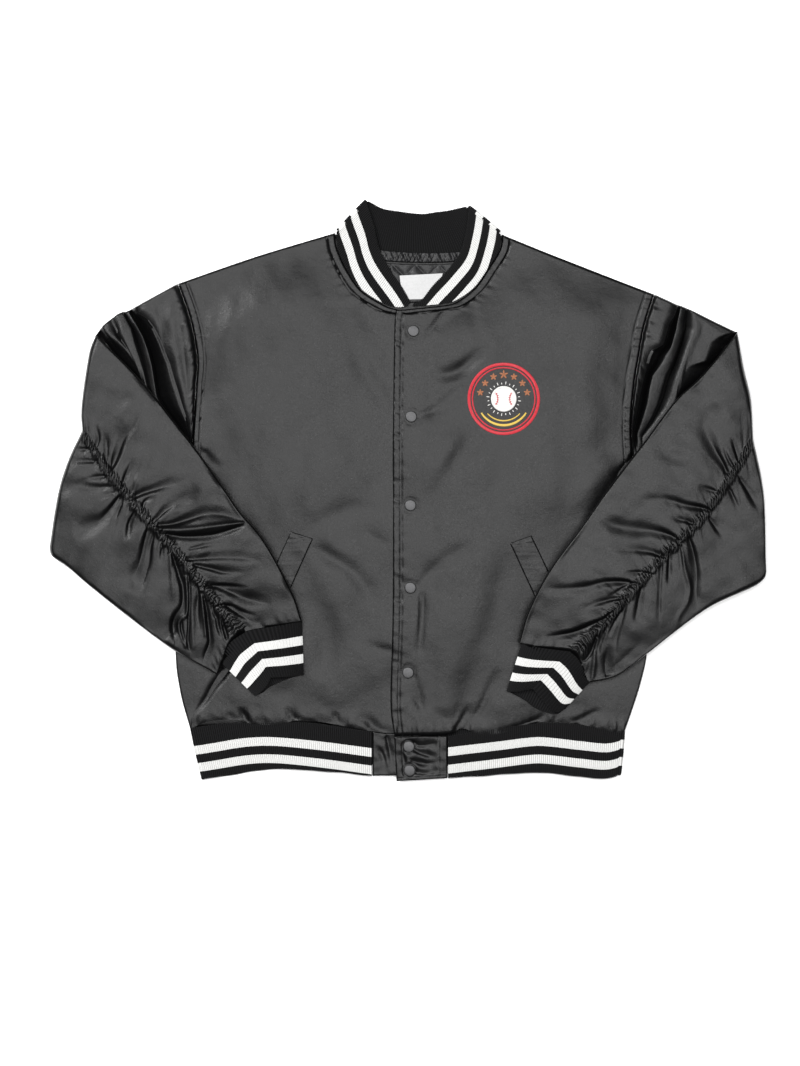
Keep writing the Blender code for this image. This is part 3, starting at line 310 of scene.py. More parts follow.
# The creased shoulder of each upper sleeve, from the armhole outwards: the columns up to each line, then the
# line's y, x and height down the sleeve.
WEDGE_LINES = {"right": {
    "shelf": (30, (240, -350, 18.5), (229, -347, 19), (222, -337, 19.5), (209, -327, 20), (191, -318, 20),
        (173, -311, 20), (164, -307, 20), (146, -302, 19), (128, -296, 18.5), (108, -290, 18),
        (90, -284, 17), (65, -280, 15)),
    "deep": (9, (229, -357, 6), (216, -348, 3), (198, -339, 3), (180, -332, 3), (160, -327, 3),
        (140, -324, 3), (120, -320, 3), (100, -308, 3), (83, -294, 4), (65, -283, 6)),
    "ridge": (3, (229, -359.5, 12), (216, -351.5, 15), (198, -341.5, 15), (180, -335, 14), (160, -330, 14),
        (140, -327, 13), (120, -324, 12), (100, -313, 9), (83, -299, 8), (65, -286, 7)),
    "ridge_back": (5, (229, -364, 11), (216, -357, 13), (198, -347, 13), (180, -340.5, 12.6),
        (160, -335, 12.4), (140, -331.5, 12), (120, -328, 11.3)),
    "second": (3, (229, -366, 9), (209, -354, 8), (191, -349, 8), (173, -343, 8.5), (155, -338.5, 9),
        (137, -335, 9), (121, -331, 9)),
    "middle": (4, (229, -369, 12), (209, -358, 13), (191, -353.5, 13), (173, -348, 12.5), (155, -342, 12.5),
        (140, -338.5, 12), (121, -334, 11)),
    "middle_back": (6, (227, -375, 12.5), (215, -370, 13.5), (202, -368, 14), (191, -363, 14),
        (180, -357.5, 13.5), (165, -351, 13), (150, -345, 12), (140, -341.5, 11)),
    "third": (3, (221, -383, 10), (209, -377, 9.5), (200, -374, 10.5), (191, -367.5, 12), (182, -361, 13),
        (176, -357.8, 13), (165, -351.8, 12.5), (150, -345.8, 11.5), (140, -342.5, 10.5)),
    "thin": (4, (216, -389, 12), (206, -385, 13), (198, -379, 14), (191, -372.5, 14), (183, -364.5, 13.5),
        (176, -359.5, 13), (165, -352.8, 12), (150, -346.6, 11), (140, -343, 10)),
    "thin_back": (2, (213, -394, 12), (206, -390.5, 13), (198, -383, 14), (191, -375.5, 13.5),
        (183, -367, 13), (176, -361.5, 12), (165, -354.3, 11), (150, -347.8, 10), (140, -343.6, 9)),
    "under": (7, (210, -397, 7), (205, -397.5, 4), (199, -396, 3), (194, -392.5, 3), (178, -380.5, 3),
        (163, -367, 3), (150, -355, 3), (140, -346, 3)),
}, "left": {
    "shelf": (26, (242, 350, 17.5), (225, 346, 18.5), (213, 338, 19), (198, 334, 19), (188, 331, 19),
        (180, 317, 19), (172, 313, 18.5), (150, 308, 17), (134, 304, 16.5), (112, 299, 16), (91, 295.5, 15),
        (72, 293, 14)),
    "deep": (8, (240, 354, 9), (219, 349.5, 5), (207, 347, 4), (186, 340.5, 4), (176, 330, 4),
        (165, 325, 4), (148, 316, 4), (131, 311.5, 4), (112, 308.5, 4), (94, 303.5, 4), (72, 297.5, 6)),
    "ridge": (3, (240, 357, 13), (219, 351.5, 14.5), (207, 349.5, 14.5), (186, 343.5, 14.5),
        (167, 334.5, 14.5), (148, 319.5, 14), (131, 315.5, 14), (112, 312.5, 13.5), (94, 307.5, 12.5),
        (72, 300, 10)),
    "ridge_back": (8, (240, 361, 12), (219, 358, 12.8), (207, 358, 12.8), (186, 352.5, 12.8),
        (167, 345.5, 12.6), (148, 335, 12.2), (131, 330, 12.2), (112, 325, 12), (94, 317, 11.5),
        (72, 304.5, 9)),
    "second": (4, (237, 365, 9), (212, 362, 6), (190, 356, 5), (172, 350, 5), (160, 346, 5), (141, 339, 5),
        (122, 334, 5), (107, 328, 5), (90, 319.5, 6), (67, 305, 6)),
    "plateau": (5, (233, 371, 13), (219, 375, 14), (205, 376, 14.5), (190, 369, 15), (169, 362, 15),
        (160, 358, 15), (141, 352, 14), (122, 347, 13), (107, 340, 12), (91, 327, 10), (65, 308, 7)),
    "plateau_back": (14, (206, 427, 11), (203.5, 421, 13), (200.5, 411, 14), (196, 401, 14),
        (190, 393.5, 14), (180, 391, 14), (171, 388.5, 14), (166, 386, 14), (162.5, 373, 14), (159, 365, 14),
        (152, 361, 13.5), (135, 355.5, 13), (120, 350.5, 11)),
    "under": (7, (205.5, 428.5, 8), (202, 426.5, 4), (190, 418, 3), (176, 407, 3), (162, 396, 3),
        (148, 384, 3), (132, 367.5, 3), (117, 353, 3)),
}}

# The deep crease beside the right cuff, leaning both ways so that each side of it is steep.
CUFF_CREASE = [(-226, -222, 5.6, -3.5), (-239, -240, 5.6, -3.5), (-251, -256, 4.8, -3.2),
        (-260, -271, 3.8, -2.6), (-276, -293, 2.5, 0)]
FRONT_FOLDS = [
    (0, (45, 229, 2.5, -2), (37, 216, 3, -2.2), (29, 207, 3, -1.6), (18, 202, 3, 0)),
    (0, (112, 195, 9.5, 0), (92, 173, 9.5, -2.8), (72, 157, 9.5, -3.9), (53, 149, 9, -2.8),
        (31, 148, 9, 0)),
    (0, (80, 142, 7, 0), (58, 124, 7, -1.3), (37, 106, 6, -1.8), (19, 99, 4, -1.4)),
    (0, (98, -68, 11, 0), (70, -80, 11, -1.5), (46, -95, 10, -1.9), (28, -112, 7, -1.9),
        (17, -126, 4, -1.4)),
    (0.3, (18, -136, 3, -2), (20, -155, 3.4, -3), (17, -183, 3.4, -3), (15, -208, 3.6, -1.6)),
    (0, (12, -244, 4, -1), (19, -270, 5, -1.6), (23, -296, 5, 0)),
    (0, (2, -260, 4, 0), (14, -278, 4, -1.3), (24, -294, 4, 0)),
    (0.5, (88, -273, 3, 0), (77, -289, 3, -2.6), (68, -302, 3, -3), (63, -313, 3, -1.5)),
    (0, (122, -229, 8, 0), (107, -255, 7, -1.6), (94, -283, 5, -2.4), (77, -304, 4, -1.4)),
    (-0.4, (183, -287, 3, 0), (170, -299, 4, -2.6), (149, -309, 4, -3.2), (125, -314, 4, -1.5)),
    (0, (252, -283, 4, 0), (236, -291, 4, -2.2), (218, -300, 4, -2)),
    (-0.3, *CUFF_CREASE),
    (0.3, *CUFF_CREASE),
    (0, (-216, -281, 3.5, 0), (-211, -290, 4, -3), (-203, -302, 3.5, -2.4)),
    (0, (-159, -283, 3, 0), (-151, -292, 3.5, -2.8), (-142, -304, 3.4, -2.4)),
    (0, (-94, -287, 3, 0), (-90, -294, 3.4, -2.4), (-86, -304, 3.4, -1.6)),
    (0, (-66, -294, 5, 0), (-50, -302, 8, -2.8), (-36, -312, 6, -2.2)),
    (0, (-188, -289, 3, 0), (-183, -298, 3, -1.6), (-180, -307, 3, -1.2)),
    (0, (-126, -70, 9, 0), (-104, -84, 9.5, -2.4), (-74, -103, 10, -2.4), (-52, -130, 11, -1.8),
        (-38, -160, 9, 0)),
    (0, (-125, -130, 17, 0), (-108, -165, 18, -1.7), (-104, -210, 18, -1.9), (-112, -250, 16, 0)),
    (0, (-26, -28, 11, 0), (-62, -24, 12, -1.1), (-100, -36, 12, -1.1), (-130, -56, 11, 0)),
    (0, (-78, 196, 11, 0), (-58, 160, 11, -1.1), (-38, 128, 10, -1.1), (-20, 104, 9, 0)),
    (0, (-66, -51, 9, 0), (-42, -62, 9, -1), (-20, -77, 7, 0)),
    (0, (-71, -195, 9, 0), (-45, -202, 8, -1), (-21, -207, 6, -1.4)),
    (0, (-188, -273, 14, 0), (-157, -264, 15, -1.6), (-123, -265, 13, 0)),
    (0, (-240, 257, 8, 0), (-244, 208, 9, -0.6), (-250, 174, 8, 0)),
    (0, (-216, 265, 8, 0), (-222, 221, 8, -0.5), (-228, 185, 7, 0)),
    (0, (-261, 247, 7, 0), (-261, 208, 7, -1.2), (-265, 166, 6, 0)),
    (0, (-80, 247, 8, 0), (-97, 208, 9, -0.9), (-112, 161, 8, 0)),
    (0, (83, 247, 7, 0), (93, 208, 8, -0.9), (98, 182, 7, 0)),
    (0, (200, 247, 9, 0), (194, 208, 9, -0.7), (184, 179, 9, 0)),
    (0, (288, 34, 13, 0), (277, 14, 14, -3.2), (264, -5, 14, -3.4), (249, -26, 13, -2.2),
        (234, -48, 12, 0)),
    (0, (272, 48, 13, 0), (252, 30, 15, 1.6), (238, 10, 15, 1.9), (224, -12, 14, 1.3), (210, -34, 12, 0)),
    (0, (-261, 49, 5, -2.2), (-250, 36, 7, -1.6), (-237, 29, 7, 0)),
    (0, (293, 44, 5, -2.8), (279, 26, 7, -1.8), (265, 16, 7, 0)),
    (0, (141, -66, 13, 0), (126, -110, 15, -1.2), (102, -188, 17, -1.5), (86, -245, 16, -1.6),
        (76, -282, 10, -0.8)),
    (0, (22, -10, 10, 0), (40, 30, 11, 1.3), (58, 62, 11, 1.5), (76, 86, 10, 0)),
    (0, (34, -14, 11, 0), (56, 24, 12, -1.1), (80, 52, 12, -1.1), (104, 72, 11, 0)),
    (0, (-99, 91, 18, 0), (-138, 26, 20, -1.2), (-157, -39, 16, 0)),
    (0, (148, 65, 18, 0), (122, 0, 20, -1.2), (128, -52, 14, 0)),
]


def metres(name, description, default):
    return FloatProperty(name=name, description=description, default=default, unit="LENGTH")


class JacketSizes(PropertyGroup):
    """The sizes that a maker would change."""

    wall: metres("Cloth wall", "Thickness of a satin shell", 0.0012)
    rib_pitch: metres("Rib pitch", "From one knitted rib to the next", 0.0026)
    rib_height: metres("Rib height", "How far a rib stands up", 0.0006)
    stripe: metres("Stripe width", "Width of each knitted stripe and of the gap between", 0.0113)
    ruche_pitch: metres("Ruche pitch", "From one fine crimp of the ruched seam to the next", 0.0051)
    ruche_height: metres("Ruche height", "Height of a fine crimp", 0.0017)
    topstitch_inset: metres("Topstitch inset", "From a seam to its topstitching", 0.011)
    stitch: metres("Stitch length", "Length of one stitch", 0.0026)
    thread: metres("Thread width", "Width of the sewing thread", 0.0005)
    snap: metres("Snap diameter", "Diameter of a snap cap", 0.015)
    quilt_pitch: metres("Quilt pitch", "Size of a quilted diamond of the lining", 0.03)
    badge: metres("Badge diameter", "Diameter of the chest badge", 0.094)


def colour(name, description, red, green, blue):
    return FloatVectorProperty(name=name, description=description, default=(red, green, blue), size=3,
                               subtype="COLOR", min=0.0, max=1.0)


class JacketColours(PropertyGroup):
    """The colours that a maker would change."""

    satin: colour("Satin", "The shell of the jacket", 0.0011, 0.0011, 0.0012)
    rib: colour("Rib", "The knitted collar, cuffs and hem", 0.0037, 0.0037, 0.0039)
    stripe: colour("Stripe", "The knitted stripes", 0.52, 0.52, 0.51)
    lining: colour("Lining", "The quilted lining", 0.0055, 0.0055, 0.006)
    label: colour("Label", "The blank woven label", 0.38, 0.38, 0.38)
    snap: colour("Snap", "The enamelled snap caps", 0.030, 0.030, 0.031)
    thread: colour("Thread", "The sewing thread", 0.009, 0.009, 0.010)
    badge_red: colour("Badge red", "The rings and seams", 0.42, 0.010, 0.022)
    badge_white: colour("Badge white", "The ball and rays", 0.60, 0.59, 0.57)
    badge_tan: colour("Badge tan", "The stars", 0.26, 0.092, 0.036)
    badge_gold: colour("Badge gold", "The arcs", 0.54, 0.37, 0.06)
    floor: colour("Floor", "The pale surface that the jacket lies on", 0.93, 0.93, 0.93)


def shares(count):
    return np.linspace(0, 1, count)


def side_by_side(*grids):
    return np.concatenate(grids, axis=1)


def smooth_step(low, high, value):
    t = np.clip((value - low) / (high - low), 0.0, 1.0)
    return t * t * (3.0 - 2.0 * t)


def rounded(distance, radius):
    """0 at a folded edge, rising round a quarter circle to 1 a radius inside it."""
    t = np.clip(distance / radius, 0.0, 1.0)
    return np.sqrt(1.0 - (1.0 - t) ** 2)


def bump(value, centre, half_width):
    return np.exp(-(((value - centre) / half_width) ** 2))


def wander(value, pitch, seed):
    """A smooth line of uneven heights from about -1 to 1, its waves about a pitch long."""
    rng = np.random.default_rng(seed)
    total = np.zeros(np.shape(value))
    for stretch in rng.uniform(0.6, 1.7, 6):
        total = total + np.sin(2 * pi * np.asarray(value) / (pitch * stretch) + rng.uniform(0, 2 * pi))
    return total / 2.4


def ripples(grid, pitch, seed):
    """Soft uneven waves in every direction, from about -1 to 1."""
    rng = np.random.default_rng(seed)
    total = np.zeros(grid.shape[:2])
    for stretch, turn in zip(rng.uniform(0.6, 1.7, 9), rng.uniform(0, pi, 9)):
        way = np.array([cos(turn), sin(turn)]) * 2 * pi / (pitch * stretch)
        total += np.sin(grid[..., :2] @ way + rng.uniform(0, 2 * pi))
    return total / 3.0


def smooth_run(points, steps=12):
    """A Catmull-Rom curve through the points of one run with no corner in it."""
    p = np.array(points, float)
    if len(p) == 2:
        return p
    p = np.vstack([2 * p[0] - p[1], p, 2 * p[-1] - p[-2]])
    t = np.linspace(0, 1, steps, endpoint=False)[:, None]
    spans = []
    for a, b, c, d in zip(p[:-3], p[1:-2], p[2:-1], p[3:]):
        curve = 2 * b + (c - a) * t + (2 * a - 5 * b + 4 * c - d) * t**2 + (3 * b - a - 3 * c + d) * t**3
        spans.append(0.5 * curve)
    return np.vstack([*spans, p[-2:-1]])


def along(runs, stations):
    """Points at these shares of the whole length of one or more runs that follow each other."""
    line = np.vstack([smooth_run(run) for run in runs])
    steps = np.hypot(*np.diff(line[:, :2], axis=0).T)
    line = line[np.r_[True, steps > 1e-6]]
    length = np.r_[0.0, np.cumsum(steps[steps > 1e-6])]
    where = np.asarray(stations) * length[-1]
    return np.column_stack([np.interp(where, length, column) for column in line.T])


def joined(*runs_and_spans):
    """Points along runs that follow each other, each run cut into its own number of equal spans."""
    pieces = [along([run], shares(spans + 1)) for run, spans in runs_and_spans]
    return np.vstack([pieces[0], *[piece[1:] for piece in pieces[1:]]])


def patch(start, end, left, right, rows=None, cols=None):
    """A sheet spread between four edges: rows run from start to end, and each row from left to right."""
    rows = shares(len(left)) if rows is None else rows
    cols = shares(len(start)) if cols is None else cols
    u, v = rows[:, None, None], cols[None, :, None]
    across = (1 - u) * start[None] + u * end[None]
    lengthwise = (1 - v) * left[:, None] + v * right[:, None]
    corners = (1 - u) * ((1 - v) * start[0] + v * start[-1]) + u * ((1 - v) * end[0] + v * end[-1])
    return across + lengthwise - corners


def crowded(count, start=0.0, end=0.0, reach=0.08):
    """Stations from 0 to 1, closer together at one or both ends."""
    fine = shares(2001)
    density = 1.0 + start * np.exp(-fine / reach) + end * np.exp(-(1 - fine) / reach)
    total = np.r_[0.0, np.cumsum((density[1:] + density[:-1]) / 2)]
    return np.interp(shares(count), total / total[-1], fine)


def steps_of(way, length=1.0):
    """The same directions, each made this long."""
    return length * way / np.maximum(np.hypot(way[..., 0], way[..., 1]), 1e-9)[..., None]


def lengths_along(line):
    """How far along a line each of its points lies, as a column."""
    return np.cumsum(np.r_[0.0, np.hypot(*np.diff(line[:, :2], axis=0).T)])[:, None]


def left_of(line):
    """The direction to the left of a line at each of its points."""
    way = steps_of(np.gradient(line[:, :2], axis=0))
    return np.column_stack([-way[:, 1], way[:, 0]])


def inset(grid, amount):
    """The same sheet with each edge drawn in, to leave a gap at its seams."""
    grid = grid.copy()
    for edge, inner in ((0, 1), (-1, -2)):
        grid[edge] += steps_of(grid[inner] - grid[edge], amount)
        grid[:, edge] += steps_of(grid[:, inner] - grid[:, edge], amount)
    return grid


def from_edges(grid):
    """How far each point lies from the sheet's start, end, left and right edge."""
    down = np.hypot(*np.moveaxis(np.diff(grid[..., :2], axis=0), 2, 0))
    across = np.hypot(*np.moveaxis(np.diff(grid[..., :2], axis=1), 2, 0))
    start = np.vstack([np.zeros(grid.shape[1]), np.cumsum(down, axis=0)])
    left = np.hstack([np.zeros((grid.shape[0], 1)), np.cumsum(across, axis=1)])
    return start, start[-1] - start, left, left[:, -1:] - left


def beside(points, line):
    """The signed distance of each point from a line, above 0 on its left, and the share along it."""
    start, way = line[:-1, :2], np.diff(line[:, :2], axis=0)
    offset = points[:, None] - start
    ahead = np.clip((offset * way).sum(-1) / (way**2).sum(-1), 0, 1)
    miss = offset - ahead[..., None] * way
    gap = (miss**2).sum(-1)
    k = gap.argmin(axis=1)
    i = np.arange(len(points))
    turn = way[k, 0] * offset[i, k, 1] - way[k, 1] * offset[i, k, 0]
    return np.sqrt(gap[i, k]) * np.where(turn < 0, -1.0, 1.0), (k + ahead[i, k]) / len(way)


def beside_line(grid, line):
    """The signed distance of each point of a sheet from a line, worked out in parts that fit in memory."""
    flat = grid[..., :2].reshape(-1, 2)
    parts = np.array_split(flat, max(1, len(flat) // 20000))
    return np.concatenate([beside(part, line)[0] for part in parts]).reshape(grid.shape[:2])


def near_line(grid, line, reach):
    """Which points of the sheet may lie within reach of the line."""
    low, high = line[:, :2].min(axis=0) - reach, line[:, :2].max(axis=0) + reach
    return ((grid[..., :2] > low) & (grid[..., :2] < high)).all(axis=-1)


# Troughs are creased sharply up to the first half width, and from the second on they are only soft.
SHARP_WIDTHS = (6.5, 10)
# How many half widths a crease reaches on its slow side.
CREASE_REACH = 5.0


def folds(grid, table):
    """The height that a table of folds adds: rounded ridges, soft wide troughs and sharp narrow creases.

    A crease rolls down from a pillow on its steep side. On the other it rises at once and then slowly.
    """
    height = np.zeros(grid.shape[:2])
    for index, (lean, *points) in enumerate(table):
        line = along([points], shares(8 * len(points)))
        near = near_line(grid, line, (CREASE_REACH + 0.2) * line[:, 2].max())
        spots = grid[near][:, :2]
        if not len(spots):
            continue
        lean = lean or (0.3, -0.3)[index % 2]
        gap, share = beside(spots, line)
        steep = gap * (1 if lean > 0 else -1) < 0
        gap = np.abs(gap)
        width, rise = (np.interp(share, shares(len(line)), line[:, column]) for column in (2, 3))
        soft = np.exp(-((gap / width) ** 2))
        reaches = (1.4 - 0.5 * abs(lean), 1.9, CREASE_REACH)
        wall, knee, far = (np.clip(gap / (width * reach), 0, 1) for reach in reaches)
        slow = 0.5 + 0.3 * np.cos(pi * knee) + 0.2 * np.cos(pi * far)
        crisp = np.where(steep, (1 - wall) ** 2, slow)
        creased = np.where(rise < 0, 1 - smooth_step(*SHARP_WIDTHS, width), 0.0)
        height[near] += rise * (soft + (crisp - soft) * creased)
    return height


def tucks(station, seed, spacing=24.0, depth=1.0, width=1.3):
    """Small sharp creases across a narrow strip, unevenly spaced along it."""
    rng = np.random.default_rng(seed)
    height = np.zeros(np.shape(station))
    where = rng.uniform(0, spacing)
    while where < np.max(station):
        size = rng.uniform(0.35, 1.0) * depth
        beyond = where + 2.2 * width
        height = height - size * bump(station, where, width) + 0.5 * size * bump(station, beyond, width)
        where += spacing * rng.uniform(0.35, 1.7)
    return height


def lifted(grid, height):
    return np.dstack([grid[..., :2], np.broadcast_to(height, grid.shape[:2])])


def flat_map(grid):
    """The sheet's own coordinates in millimetres: along its rows and across them."""
    start, end, left, right = from_edges(grid)
    return np.dstack([left - left.mean(), start - start.mean()])


def sheet_of(name, points, uv, wall=0.0, ring=False, loop=False, caps=False, sharp=80.0):
    """A grid whose points are moved to these. A ring closes its columns, and a loop its rows."""
    if ring:
        points = np.concatenate([points, points[:, :1]], axis=1)
        uv = np.concatenate([uv, uv[:, -1:]], axis=1)
    if loop:
        points = np.concatenate([points, points[:1]])
        step = uv[-1:] - uv[-2:-1]
        uv = np.concatenate([uv, uv[-1:] + step])
    rows, cols = points.shape[:2]
    bpy.ops.object.select_all(action="DESELECT")
    bpy.ops.mesh.primitive_grid_add(x_subdivisions=cols - 1, y_subdivisions=rows - 1, size=1.0)
    piece = bpy.context.active_object
    mesh = piece.data
    piece.name = mesh.name = name
    mesh.vertices.foreach_set("co", (points.reshape(-1, 3) * MM).ravel())
    corners = np.empty(len(mesh.loops), int)
    mesh.loops.foreach_get("vertex_index", corners)
    mesh.uv_layers[0].data.foreach_set("uv", (uv.reshape(-1, 2)[corners] * MM).ravel())
    mesh.update()
    if ring or loop or caps:
        bpy.ops.object.mode_set(mode="EDIT")
        bpy.ops.mesh.select_all(action="SELECT")
        bpy.ops.mesh.remove_doubles(threshold=2e-6)
        if caps:
            bpy.ops.mesh.fill_holes(sides=0)
        bpy.ops.mesh.select_all(action="SELECT")
        bpy.ops.mesh.normals_make_consistent(inside=False)
        bpy.ops.object.mode_set(mode="OBJECT")
    elif normals_down(points):
        mesh.flip_normals()
    if wall:
        shell = piece.modifiers.new("wall", "SOLIDIFY")
        shell.thickness = wall
        shell.offset = -1.0
        bpy.ops.object.modifier_apply(modifier=shell.name)
    bpy.ops.object.shade_smooth_by_angle(angle=radians(sharp))
    return piece


def normals_down(points):
    across = points[:, -1] - points[:, 0]
    down = points[-1] - points[0]
    turn = across[:, 0].mean() * down[:, 1].mean() - across[:, 1].mean() * down[:, 0].mean()
    return turn < 0


def dress(piece, material, slot, *nodes):
    """Gives a finished piece its material, attaches it to the root body and hides the frame's nodes that it
    stands for. The slot is not used.
    """
    piece.data.materials.clear()
    piece.data.materials.append(material)
    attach(piece, "root")
    if nodes:
        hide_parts(*nodes)
    return piece


# Materials


def start_material(name, base, roughness, **inputs):
    material = bpy.data.materials.new(name)
    material.use_nodes = True
    shader = material.node_tree.nodes["Principled BSDF"]
    shader.inputs["Base Color"].default_value = (*base, 1.0)
    shader.inputs["Roughness"].default_value = roughness
    for label, value in inputs.items():
        shader.inputs[label.replace("_", " ")].default_value = value
    return material, material.node_tree, shader


def node(tree, kind, **values):
    made = tree.nodes.new(kind)
    for label, value in values.items():
        if label in made.bl_rna.properties:
            setattr(made, label, value)
        else:
            made.inputs[label.replace("_", " ")].default_value = value
    return made


def feed(tree, socket, value):
    """Sets a node's input to a value, or links it to another node's output."""
    if isinstance(value, (int, float, tuple)):
        socket.default_value = value
    else:
        tree.links.new(value, socket)


def math_node(tree, operation, *values):
    made = node(tree, "ShaderNodeMath", operation=operation)
    for socket, value in zip(made.inputs, values):
        feed(tree, socket, value)
    return made.outputs[0]


def own_coordinates(tree):
    """The piece's place in metres, its own map, and the map's x and y."""
    source = node(tree, "ShaderNodeTexCoord")
    split = node(tree, "ShaderNodeSeparateXYZ")
    tree.links.new(source.outputs["UV"], split.inputs[0])
    return source.outputs["Object"], source.outputs["UV"], split.outputs["X"], split.outputs["Y"]


def threads(tree, coordinate, pitch):
    """Even waves from -1 to 1, a pitch apart."""
    return math_node(tree, "SINE", math_node(tree, "MULTIPLY", coordinate, 2 * pi / pitch))


def noise(tree, coordinates, scale, detail, roughness=0.5):
    """Uneven specks from 0 to 1."""
    made = node(tree, "ShaderNodeTexNoise", Scale=scale, Detail=detail, Roughness=roughness)
    tree.links.new(coordinates, made.inputs["Vector"])
    return made.outputs["Fac"]


def mixed(tree, factor, first, second):
    """A mix of two colours, each given as three channels or as another node's output."""
    made = node(tree, "ShaderNodeMix", data_type="RGBA")
    feed(tree, made.inputs["Factor"], factor)
    for label, colour_in in (("A", first), ("B", second)):
        feed(tree, made.inputs[label], (*colour_in, 1.0) if isinstance(colour_in, tuple) else colour_in)
    return made.outputs["Result"]


def add_bumps(tree, shader, heights):
    """Chains bumps, each a height socket with its strength and its depth in metres."""
    last = None
    for height, strength, depth in heights:
        made = node(tree, "ShaderNodeBump", Strength=strength, Distance=depth)
        tree.links.new(height, made.inputs["Height"])
        if last:
            tree.links.new(last.outputs["Normal"], made.inputs["Normal"])
        last = made
    tree.links.new(last.outputs["Normal"], shader.inputs["Normal"])


def shades(tree, base, factor, darkest, lightest):
    """The base colour, varied between a darker and a lighter shade of itself."""
    ends = [tuple(min(1.0, channel * share) for channel in base) for share in (darkest, lightest)]
    return mixed(tree, factor, *ends)


def vary_colour(tree, shader, base, factor, darkest, lightest):
    tree.links.new(shades(tree, base, factor, darkest, lightest), shader.inputs["Base Color"])


SATIN_SPECULAR = 0.164
# Pitches of the threads and knitted rows, in metres.
WARP_PITCH = 0.0005
TWILL_PITCH = 0.0012
COURSE_PITCH = 0.0011
EMBROIDERY_PITCH = 0.0006
# How far the knitted stripes' edges stray, in metres.
STRIPE_STRAY = 0.0006


def satin_material(name, base, roughness, crinkle=0.35):
    """Warp-faced satin: fine threads along the cloth, a soft crinkle and a broad sheen."""
    material, tree, shader = start_material(name, base, roughness, Sheen_Weight=0.003, Sheen_Roughness=0.4,
                                            Specular_IOR_Level=SATIN_SPECULAR)
    place, own_map, x, y = own_coordinates(tree)
    twill = threads(tree, math_node(tree, "ADD", x, y), TWILL_PITCH)
    weave = math_node(tree, "MULTIPLY_ADD", twill, 0.4, threads(tree, x, WARP_PITCH))
    creased = noise(tree, place, 70.0, 3.0, 0.55)
    grain = noise(tree, place, 640.0, 1.0, 0.7)
    vary_colour(tree, shader, base, noise(tree, place, 9.0, 4.0, 0.6), 0.85, 1.15)
    uneven = math_node(tree, "MULTIPLY_ADD", grain, 0.36, roughness - 0.18)
    tree.links.new(uneven, shader.inputs["Roughness"])
    add_bumps(tree, shader, [(creased, crinkle, 0.0012), (grain, 0.4, 0.0003), (weave, 0.12, 0.00004)])
    return material


def rib_material(name, base, stripe, width, pitch):
    """Knitted rib whose stripes follow the map's y, which is 0 at the outer stripe's edge, with painted shade
    in the rib valleys.
    """
    material, tree, shader = start_material(name, base, 0.92, Sheen_Weight=0.02, Sheen_Roughness=0.6,
                                            Specular_IOR_Level=0.07)
    place, own_map, x, y = own_coordinates(tree)
    stray = math_node(tree, "MULTIPLY_ADD", noise(tree, own_map, 900.0, 1.0), STRIPE_STRAY, y)
    bands = []
    for low in (STRIPE_STRAY / 2, 2 * width + STRIPE_STRAY / 2):
        after = math_node(tree, "GREATER_THAN", stray, low)
        before = math_node(tree, "LESS_THAN", stray, low + width)
        bands.append(math_node(tree, "MULTIPLY", after, before))
    fuzz = noise(tree, own_map, 1600.0, 2.0)
    # Painted shade: the colour of the rib and the stripes darkens in a wave one rib pitch apart, as in the
    # ribs' valleys, and the fuzz varies it at random.
    painted_rib_shade_and_fuzz = math_node(tree, "MULTIPLY_ADD", threads(tree, x, pitch), -0.3, fuzz)
    dark = shades(tree, base, painted_rib_shade_and_fuzz, 0.1, 2.0)
    light = shades(tree, stripe, painted_rib_shade_and_fuzz, 0.72, 1.0)
    striped = mixed(tree, math_node(tree, "ADD", *bands), dark, light)
    tree.links.new(striped, shader.inputs["Base Color"])
    knit = math_node(tree, "MULTIPLY", threads(tree, y, COURSE_PITCH), 0.5)
    add_bumps(tree, shader, [(knit, 0.35, 0.00012), (fuzz, 0.25, 0.00015)])
    return material


def woven_material(name, base, roughness, pitch, depth):
    """Plain weave: threads along and across the piece's map."""
    material, tree, shader = start_material(name, base, roughness, Sheen_Weight=0.1)
    place, own_map, x, y = own_coordinates(tree)
    vary_colour(tree, shader, base, noise(tree, place, 400.0, 2.0), 0.85, 1.1)
    weave = math_node(tree, "ADD", threads(tree, x, pitch), threads(tree, y, pitch))
    add_bumps(tree, shader, [(weave, 0.5, depth)])
    return material


def stitched_material(name, base):
    """Embroidery thread laid side by side across the stroke, with painted shade between the threads."""
    material, tree, shader = start_material(name, base, 0.42, Sheen_Weight=0.2)
    thread = threads(tree, own_coordinates(tree)[3], EMBROIDERY_PITCH)
    # Painted shade: the colour darkens between the threads, and the same waves raise the threads as bumps.
    vary_colour(tree, shader, base, math_node(tree, "MULTIPLY_ADD", thread, 0.5, 0.5), 0.7, 1.1)
    add_bumps(tree, shader, [(thread, 0.7, 0.00012)])
    return material


def speckled_material(name, base, speck, strength, roughness, **inputs):
    """A finish with fine specks of this scale and detail, some darker and some raised a little."""
    material, tree, shader = start_material(name, base, roughness, **inputs)
    worn = noise(tree, own_coordinates(tree)[0], *speck)
    vary_colour(tree, shader, base, worn, 0.6, 1.5)
    add_bumps(tree, shader, [(worn, strength, 0.0001)])
    return material


def snap_material(name, base):
    """Matt gunmetal enamel, a little worn."""
    return speckled_material(name, base, (700.0, 4.0), 0.2, 0.42, Metallic=0.75)


def thread_material(name, base):
    return speckled_material(name, base, (2500.0, 1.0), 0.4, 0.6, Sheen_Weight=0.2)


def material_once(name, make, *values):
    return bpy.data.materials.get(name) or make(name, *values)


def shell_satin(context):
    return material_once("black_satin", satin_material, tuple(context.scene.jacket_colours.satin), 0.36)


def knitted_rib(context):
    colours, sizes = context.scene.jacket_colours, context.scene.jacket_sizes
    return material_once("striped_rib", rib_material, tuple(colours.rib), tuple(colours.stripe), sizes.stripe,
                         sizes.rib_pitch)


# Body


def sleeve_cuff_seam(side):
    """The seam between sleeve and cuff, from the sleeve's upper edge to its lower one."""
    return SLEEVE[side]["cuff_seam"][:: -1 if side == "right" else 1]


